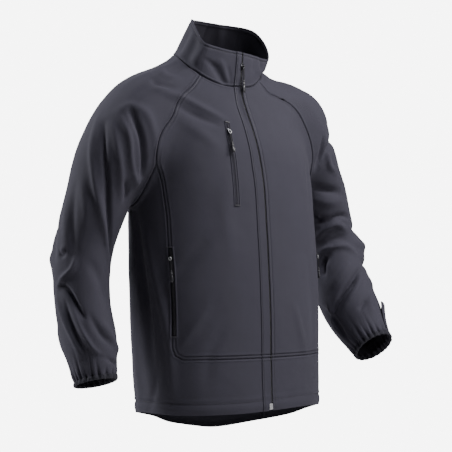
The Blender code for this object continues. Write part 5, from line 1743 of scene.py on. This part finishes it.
@dataclass
class Slider:
    """Zip slider at the frame's hinge, with the ring, the cord and the moulded grip that hang from it."""

    name: str
    form: WornForm
    finishes: Finishes
    maker: Maker
    scale: float = 1.0
    ring: float = 2.7 * MM
    width: float = 8.2 * MM
    length: float = 10.5 * MM
    base: float = 2.4 * MM
    hinge_height: float = 4.0 * MM
    wire: float = 0.7 * MM
    cord: float = 0.75 * MM
    cord_ends: float = 33 * MM
    grip: tuple = (
        (29.5, 1.2, 1.1), (30.0, 2.1, 1.6), (31.0, 2.5, 1.9), (33.5, 2.6, 2.0), (34.2, 2.2, 1.6),
        (35.2, 2.2, 1.6), (35.9, 2.8, 2.1), (40.0, 3.1, 2.2), (40.7, 2.7, 1.8), (41.7, 2.7, 1.8),
        (42.4, 3.2, 2.2), (47.0, 3.5, 2.2), (51.5, 3.5, 2.1), (54.2, 3.1, 1.8), (55.6, 2.2, 1.2),
        (56.2, 1.0, 0.5),
    )
    lower_width: float = 0.72
    waist: float = 0.86
    bridge_radius: float = 0.85 * MM
    bridge_reach: float = 2.4 * MM
    bridge_sunk: float = 0.5 * MM

    def joint(self) -> dict:
        """The frame's own joint of this pull."""
        rows = frame["joints"]
        return next(row for row in rows if row["name"] == "swing_" + self.name)

    def place(self) -> tuple[Array, Array, Array, Array]:
        """Hinge point, direction across, up the zip and out of the cloth."""
        joint = self.joint()
        hinge = np.array(joint["pos_m"], float)
        across = -unit(np.array(joint["axis"], float))
        out = self.form.normal(hinge[None])[0]
        out = unit(out - across * (out @ across))
        return hinge, across, np.cross(out, across), out

    def tip(self, hinge: Array) -> Array:
        """Direction in which the frame's own pull hangs."""
        mesh = frame["nodes"]["pull_" + self.name].data
        points = np.array([vert.co for vert in mesh.vertices]) - hinge
        away = np.linalg.norm(points, axis=1)
        return unit(points[away > away.max() - 1 * MM].mean(0))

    def build(self) -> None:
        """Makes the slider and its pull."""
        hinge, across, up, out = self.place()
        bm = self.body()
        stand = set_down(hinge - out * self.hinge_height, across, up, out)
        bmesh.ops.transform(bm, matrix=stand, verts=bm.verts)
        self.maker.piece(
            "slider_" + self.name + "_body", bm, (self.finishes.slider,), "slider_metal",
            replaces=("slider_" + self.name,))
        self.pull(hinge, across, self.tip(hinge))

    def body(self) -> bmesh.types.BMesh:
        """Slider lying flat: a waisted body, narrower below, and the bridge that the ring runs through."""
        bm = bmesh.new()
        made = bmesh.ops.create_cube(bm, size=1)["verts"]
        bmesh.ops.scale(bm, vec=(self.width, self.length, self.base), verts=made)
        bmesh.ops.translate(bm, vec=(0, 0, self.base / 2), verts=made)
        for vert in made:
            if vert.co.y < 0:
                vert.co.x *= self.lower_width
        bmesh.ops.subdivide_edges(bm, edges=bm.edges, cuts=1, use_grid_fill=True)
        for vert in bm.verts:
            if abs(vert.co.y) < 0.5 * MM:
                vert.co.x *= self.waist
        sharp = [edge for edge in bm.edges if edge.calc_face_angle(0) > 0.6]
        bmesh.ops.bevel(
            bm, geom=sharp, offset=0.6 * MM, segments=2, profile=0.5, affect="EDGES", material=-1)
        level = self.base - self.bridge_sunk
        circle = bmesh.ops.create_circle(bm, cap_ends=True, radius=self.bridge_radius, segments=10)["verts"]
        bmesh.ops.translate(bm, vec=(0, self.bridge_reach, level), verts=circle)
        face = next(f for f in circle[0].link_faces if len(f.verts) == 10)
        bmesh.ops.spin(bm, geom=[face], cent=(0, 0, level), axis=(1, 0, 0), angle=math.pi, steps=12)
        bmesh.ops.recalc_face_normals(bm, faces=bm.faces)
        return bm

    def pull(self, hinge: Array, across: Array, way: Array) -> None:
        """Ring, cord and grip in the direction of the frame's pull.

        Args:
            hinge: the hinge point.
            across: direction of the hinge's axis.
            way: direction in which the pull hangs.
        """
        body = "pull_" + self.name
        face = unit(np.cross(across, way))
        stand = set_down(hinge, across, way, face)
        bm = bmesh.new()
        circle = bmesh.ops.create_circle(bm, cap_ends=False, radius=self.wire, segments=10)["verts"]
        edges = list({edge for vert in circle for edge in vert.link_edges})
        bmesh.ops.rotate(bm, verts=circle, matrix=Matrix.Rotation(math.pi / 2, 3, "X"))
        bmesh.ops.translate(bm, vec=(self.ring, 0, 0), verts=circle)
        bmesh.ops.spin(
            bm, geom=circle + edges, cent=(0, 0, 0), axis=(0, 0, 1), angle=2 * math.pi, steps=28,
            use_merge=True)
        bmesh.ops.scale(bm, vec=(0.86, 1.15, 1), verts=bm.verts)
        bmesh.ops.translate(bm, vec=(0, self.ring * 0.75, 0), verts=bm.verts)
        bmesh.ops.recalc_face_normals(bm, faces=bm.faces)
        bmesh.ops.transform(bm, matrix=stand, verts=bm.verts)
        finish = self.finishes.slider if self.name == "main" else self.finishes.bright
        self.maker.piece(body + "_ring", bm, (finish,), "slider_metal", body)
        rings = []
        turn = np.linspace(0, 2 * math.pi, 25)
        for distance, half_width, half_thick in self.grip:
            ring = np.stack([
                np.sign(np.cos(turn)) * np.abs(np.cos(turn)) ** 0.75 * half_width,
                np.full(25, distance * self.scale),
                np.sign(np.sin(turn)) * np.abs(np.sin(turn)) ** 0.75 * half_thick], 1) * MM
            rings.append(ring)
        self.tube(body + "_grip", np.array(rings), stand, self.finishes.grip, body, (body,))
        for sign, word in ((-1, "right"), (1, "left")):
            rings = []
            for v in np.linspace(0, 1, 15):
                y = self.ring * 1.55 + v * (self.cord_ends * self.scale - self.ring * 1.55)
                x = sign * (0.85 + 0.35 * math.sin(math.pi * v)) * MM
                if v == 0:
                    x = 0.1 * sign * MM
                ring = np.stack([
                    x + self.cord * np.cos(turn[::2]), np.full(13, y), self.cord * np.sin(turn[::2])], 1)
                rings.append(ring)
            self.tube(f"{body}_cord_{word}", np.array(rings), stand, self.finishes.cord, body)

    def tube(
        self, name: str, rings: Array, stand: Matrix, finish: bpy.types.Material, body: str,
        replaces: Sequence[str] = (),
    ) -> None:
        """Closed solid through rings of points.

        Args:
            name: the piece's name.
            rings: rings of points, the last point of each the first again.
            stand: where it stands.
            finish: its material.
            body: the body that it rides on.
            replaces: CAD nodes that it stands for.
        """
        bm = grid_mesh(Sheet(rings, rings - rings.mean(1, keepdims=True), True))
        bmesh.ops.holes_fill(bm, edges=[edge for edge in bm.edges if edge.is_boundary], sides=0)
        bmesh.ops.recalc_face_normals(bm, faces=bm.faces)
        bmesh.ops.transform(bm, matrix=stand, verts=bm.verts)
        self.maker.piece(name, bm, (finish,), "pull_rubber", body, replaces)


@dataclass
class CuffTab:
    """Short stiff tab sewn on the outer side of the left cuff, its upper end standing off the sleeve."""

    drape: Drape
    finishes: Finishes
    maker: Maker
    angles: tuple = (53.0, 55.0)
    from_cuff: tuple = (79 * MM, 16 * MM)
    width: float = 24 * MM
    cloth: float = 2.4 * MM
    lifted: float = 7.5 * MM
    columns: tuple = (
        -0.5, -0.47, -0.43, -0.38, -0.34, -0.28, -0.14, 0, 0.14, 0.28, 0.34, 0.38, 0.43, 0.47, 0.5,
    )
    rows: int = 26
    sleeve_radius: float = 0.05
    stitched_at: float = 0.38

    def build(self) -> tuple[Array, Array]:
        """Makes the tab; gives the line of its stitching."""
        tube = self.drape.form.sleeves[Side.LEFT]
        v = np.linspace(0, 1, self.rows)[:, None]
        c = np.array(self.columns)
        across = c[None, :] * self.width / self.sleeve_radius
        angle = np.radians(self.angles[0] + (self.angles[1] - self.angles[0]) * v) + across
        s = tube.length - (self.from_cuff[0] + (self.from_cuff[1] - self.from_cuff[0]) * v) + 0 * across
        points = self.drape.form.sleeve_surface(Side.LEFT, s.ravel(), angle.ravel()).reshape(*s.shape, 3)
        normals = self.drape.form.normal(points.reshape(-1, 3)).reshape(points.shape)
        stitched = Ridge(-0.6, self.stitched_at, 0.03).height(np.abs(c))[None] + 0 * v
        height = self.lifted * (1 - v) ** 2 + self.cloth + 0.4 * MM + stitched
        sheet = Sheet(points + normals * height[..., None], normals)
        thing = self.maker.piece(
            "cuff_tab_cloth", grid_mesh(sheet), (self.finishes.shell,) * 2, "softshell",
            replaces=("cuff_tab",))
        self.maker.wall(thing, self.cloth)
        return sheet.points[:, 3], sheet.normals[:, 3]


@dataclass
class Topstitching:
    """Rows of stitches lying in their grooves."""

    finishes: Finishes
    maker: Maker
    stitch: tuple = (0.55 * MM, 2.5 * MM, 0.5 * MM)
    pitch: float = 3.4 * MM
    sunk: float = 0.05 * MM

    def build(self, name: str, lines: Sequence[tuple[Array, Array]]) -> None:
        """Makes the stitches of some lines as one piece."""
        bm = bmesh.new()
        for points, normals in lines:
            blocks(bm, along(points, normals, self.pitch), self.stitch, self.sunk)
        self.maker.piece("stitches_" + name, bm, (self.finishes.thread,), "softshell", smooth=False)


@dataclass
class Camera:
    """The photograph's camera: a long lens level with the middle of the jacket."""

    azimuth: float = -37.0
    distance: float = 3.6
    target: tuple = (0.0, 0.0, -0.352)
    width: float = 0.938

    def build(self) -> None:
        """Makes the camera and sets it."""
        data = bpy.data.cameras.new("photo_camera")
        data.sensor_width = 36.0
        data.lens = 36.0 * self.distance / self.width
        data.shift_x = 1 / 452
        data.clip_end = 100
        thing = bpy.data.objects.new("photo_camera", data)
        bpy.context.scene.collection.objects.link(thing)
        turn = math.radians(self.azimuth)
        back = Vector((math.sin(turn), -math.cos(turn), 0))
        thing.location = Vector(self.target) + back * self.distance
        thing.rotation_euler = (math.pi / 2, 0, turn)
        bpy.context.scene.camera = thing


@dataclass
class Studio:
    """Pale floor well below the jacket, and soft lights round it."""

    floor_level: float = -1.55
    floor_radius: float = 3.2
    white: str = "#d9d9d7"
    seen_strength: float = 7.0
    dim_strength: float = 0.015

    def build(self) -> None:
        """Makes the floor, the lights and the pale surroundings."""
        bm = bmesh.new()
        bmesh.ops.create_circle(bm, cap_ends=True, radius=self.floor_radius, segments=96)
        bmesh.ops.translate(bm, vec=(0, 0, self.floor_level), verts=bm.verts)
        mesh = bpy.data.meshes.new("floor")
        bm.to_mesh(mesh)
        bm.free()
        mesh.materials.append(Finish("painted_floor", self.white, 0.8, grain_mm=20, bump=0.01).material())
        floor = bpy.data.objects.new("floor", mesh)
        bpy.context.scene.collection.objects.link(floor)
        for name, place, power, size, colour in LIGHTS:
            data = bpy.data.lights.new(name, "AREA")
            data.energy, data.size, data.color = power, size, colour
            thing = bpy.data.objects.new(name, data)
            bpy.context.scene.collection.objects.link(thing)
            thing.location = place
            away = Vector((0, 0, -0.35)) - Vector(place)
            thing.rotation_euler = away.to_track_quat("-Z", "Y").to_euler()
        world = bpy.data.worlds.new("studio")
        bpy.context.scene.world = world
        world.use_nodes = True
        tree = world.node_tree
        tree.nodes.clear()
        seen = add(tree, "ShaderNodeBackground", {"Color": (1, 1, 1, 1), "Strength": self.seen_strength})
        dim = add(tree, "ShaderNodeBackground", {"Color": (0.9, 0.93, 1.0, 1), "Strength": self.dim_strength})
        path = add(tree, "ShaderNodeLightPath")
        mix = add(tree, "ShaderNodeMixShader", {
            0: path.outputs["Is Camera Ray"], 1: dim.outputs[0], 2: seen.outputs[0]})
        add(tree, "ShaderNodeOutputWorld", {0: mix.outputs[0]})


# pockets: the chest zip's middle line and half width; the hand zips' top, bottom, turn and half width
CHEST_POCKET = ((30.8, -0.1260), (29.0, -0.1600), (26.4, -0.2150), (25.6, -0.2600), (25.4, -0.3130))
CHEST_HALF = 4.6 * MM
HAND_POCKET = (-0.3920, -0.5730, -1.0, 3.4 * MM)
# sliders: scale of the pull and radius of its ring
SLIDER_SIZES = {
    "main": (1.0, 2.7 * MM),
    "chest": (0.86, 3.4 * MM),
    "hand_right": (0.86, 2.9 * MM),
    "hand_left": (0.86, 2.9 * MM),
}

# lights: name, place, power in watts, size in metres, colour
LIGHTS = (
    ("key", (1.45, -1.55, 1.35), 42.0, 0.8, (1.0, 0.985, 0.975)),
    ("overhead", (0.30, -1.55, 2.10), 41.0, 0.8, (0.97, 0.98, 1.0)),
    ("front", (0.85, -2.40, 0.20), 11.0, 0.8, (1.0, 0.99, 0.98)),
    ("rim", (-2.0, 2.4, 1.0), 105.0, 0.8, (0.97, 0.98, 1.0)),
    ("top", (-0.5, 0.3, 2.4), 3.0, 0.8, (1.0, 1.0, 1.0)),
)


def hand_pocket_path(pattern: Pattern, side: Side) -> tuple:
    """Middle line of a hand pocket's zip, beside the princess seam."""
    top, bottom, turn, _ = HAND_POCKET
    seam = pattern.seams[side]["princess"]
    heights = np.linspace(top, bottom, 9)
    return tuple(zip(np.interp(-heights, -seam[:, 1], seam[:, 0]) + turn, heights))


def topstitch(
    stitching: Topstitching, shell: Shell, sheets: dict[str, Sheet], placket: tuple[Array, Array],
    tab: tuple[Array, Array],
) -> None:
    """Sews the visible rows of stitches.

    Args:
        stitching: maker of the stitches.
        shell: the cloth's makers, for the place of its hem and its edge.
        sheets: the draped cloth.
        placket: line of the placket's stitching.
        tab: line of the cuff tab's stitching.
    """
    offset = STITCH_OFFSET * MM
    for side in Side:
        word = side.name.lower()
        front, band = sheets["front_" + word], sheets["band_" + word]
        outer = edge_line(front, "last", offset)
        if side is Side.LEFT:
            # the left raglan seam is plain, as on the photograph
            start = len(front.points) // 3
            outer = (outer[0][start:], outer[1][start:])
        lines = [outer, edge_line(front, "bottom", offset), edge_line(band, "bottom", shell.hem_turn)]
        if side is Side.LEFT:
            lines += [edge_line(cloth, "first", shell.edge_stitch) for cloth in (front, band)] + [tab]
        else:
            lines.append(placket)
        stitching.build("front_" + word, lines)
    back, collar = sheets["back"], sheets["collar"]
    stitching.build("back", [
        edge_line(back, "first", offset), edge_line(back, "last", offset),
        edge_line(back, "bottom", shell.hem_turn)])
    stitching.build("collar", [edge_line(collar, "bottom", COLLAR_RIDGES[0].middle * MM)])


def main() -> None:
    """Builds the jacket piece by piece."""
    logging.basicConfig(level=logging.INFO, format="%(name)s: %(message)s")
    stations = {Side.RIGHT: RIGHT_STATIONS, Side.LEFT: LEFT_STATIONS}
    form = WornForm(TORSO, {side: SleeveTube(side, table) for side, table in stations.items()})
    pattern = Pattern(form, SeamPlan(), Cells())
    LOG.info("pattern cut")
    drape = Drape(form, pattern)
    finishes = Finishes()
    collection = bpy.data.collections.new("jacket_pieces")
    bpy.context.scene.collection.children.link(collection)
    maker = Maker(collection)
    shell = Shell(pattern, drape, finishes, maker)
    rigs = [Slider(name, form, finishes, maker, scale, ring) for name, (scale, ring) in SLIDER_SIZES.items()]
    for rig in rigs:
        hinge = rig.place()[0]
        drape.keep_calm(hinge, hinge + rig.tip(hinge) * 50 * MM * rig.scale)
    sheets = shell.build()
    LOG.info("shell draped: %s", ", ".join(sheets))
    placket = MainZip(pattern, finishes, maker).build(sheets)
    for side in Side:
        path = hand_pocket_path(pattern, side)
        PocketZip(
            "hand_" + side.name.lower(), side, path, HAND_POCKET[3], pattern, drape, finishes, maker,
            finishes.tape, finishes.coil).build()
    PocketZip(
        "chest", Side.RIGHT, CHEST_POCKET, CHEST_HALF, pattern, drape, finishes, maker, finishes.pocket_tape,
        finishes.pocket_tape).build()
    for rig in rigs:
        rig.build()
        LOG.info("slider and pull: %s", rig.name)
    tab = CuffTab(drape, finishes, maker).build()
    topstitch(Topstitching(finishes, maker), shell, sheets, placket, tab)
    frame["nodes"]["zip_retainer"].material_slots[0].material = finishes.bright
    Camera().build()
    Studio().build()


if __name__ == "__main__":
    main()
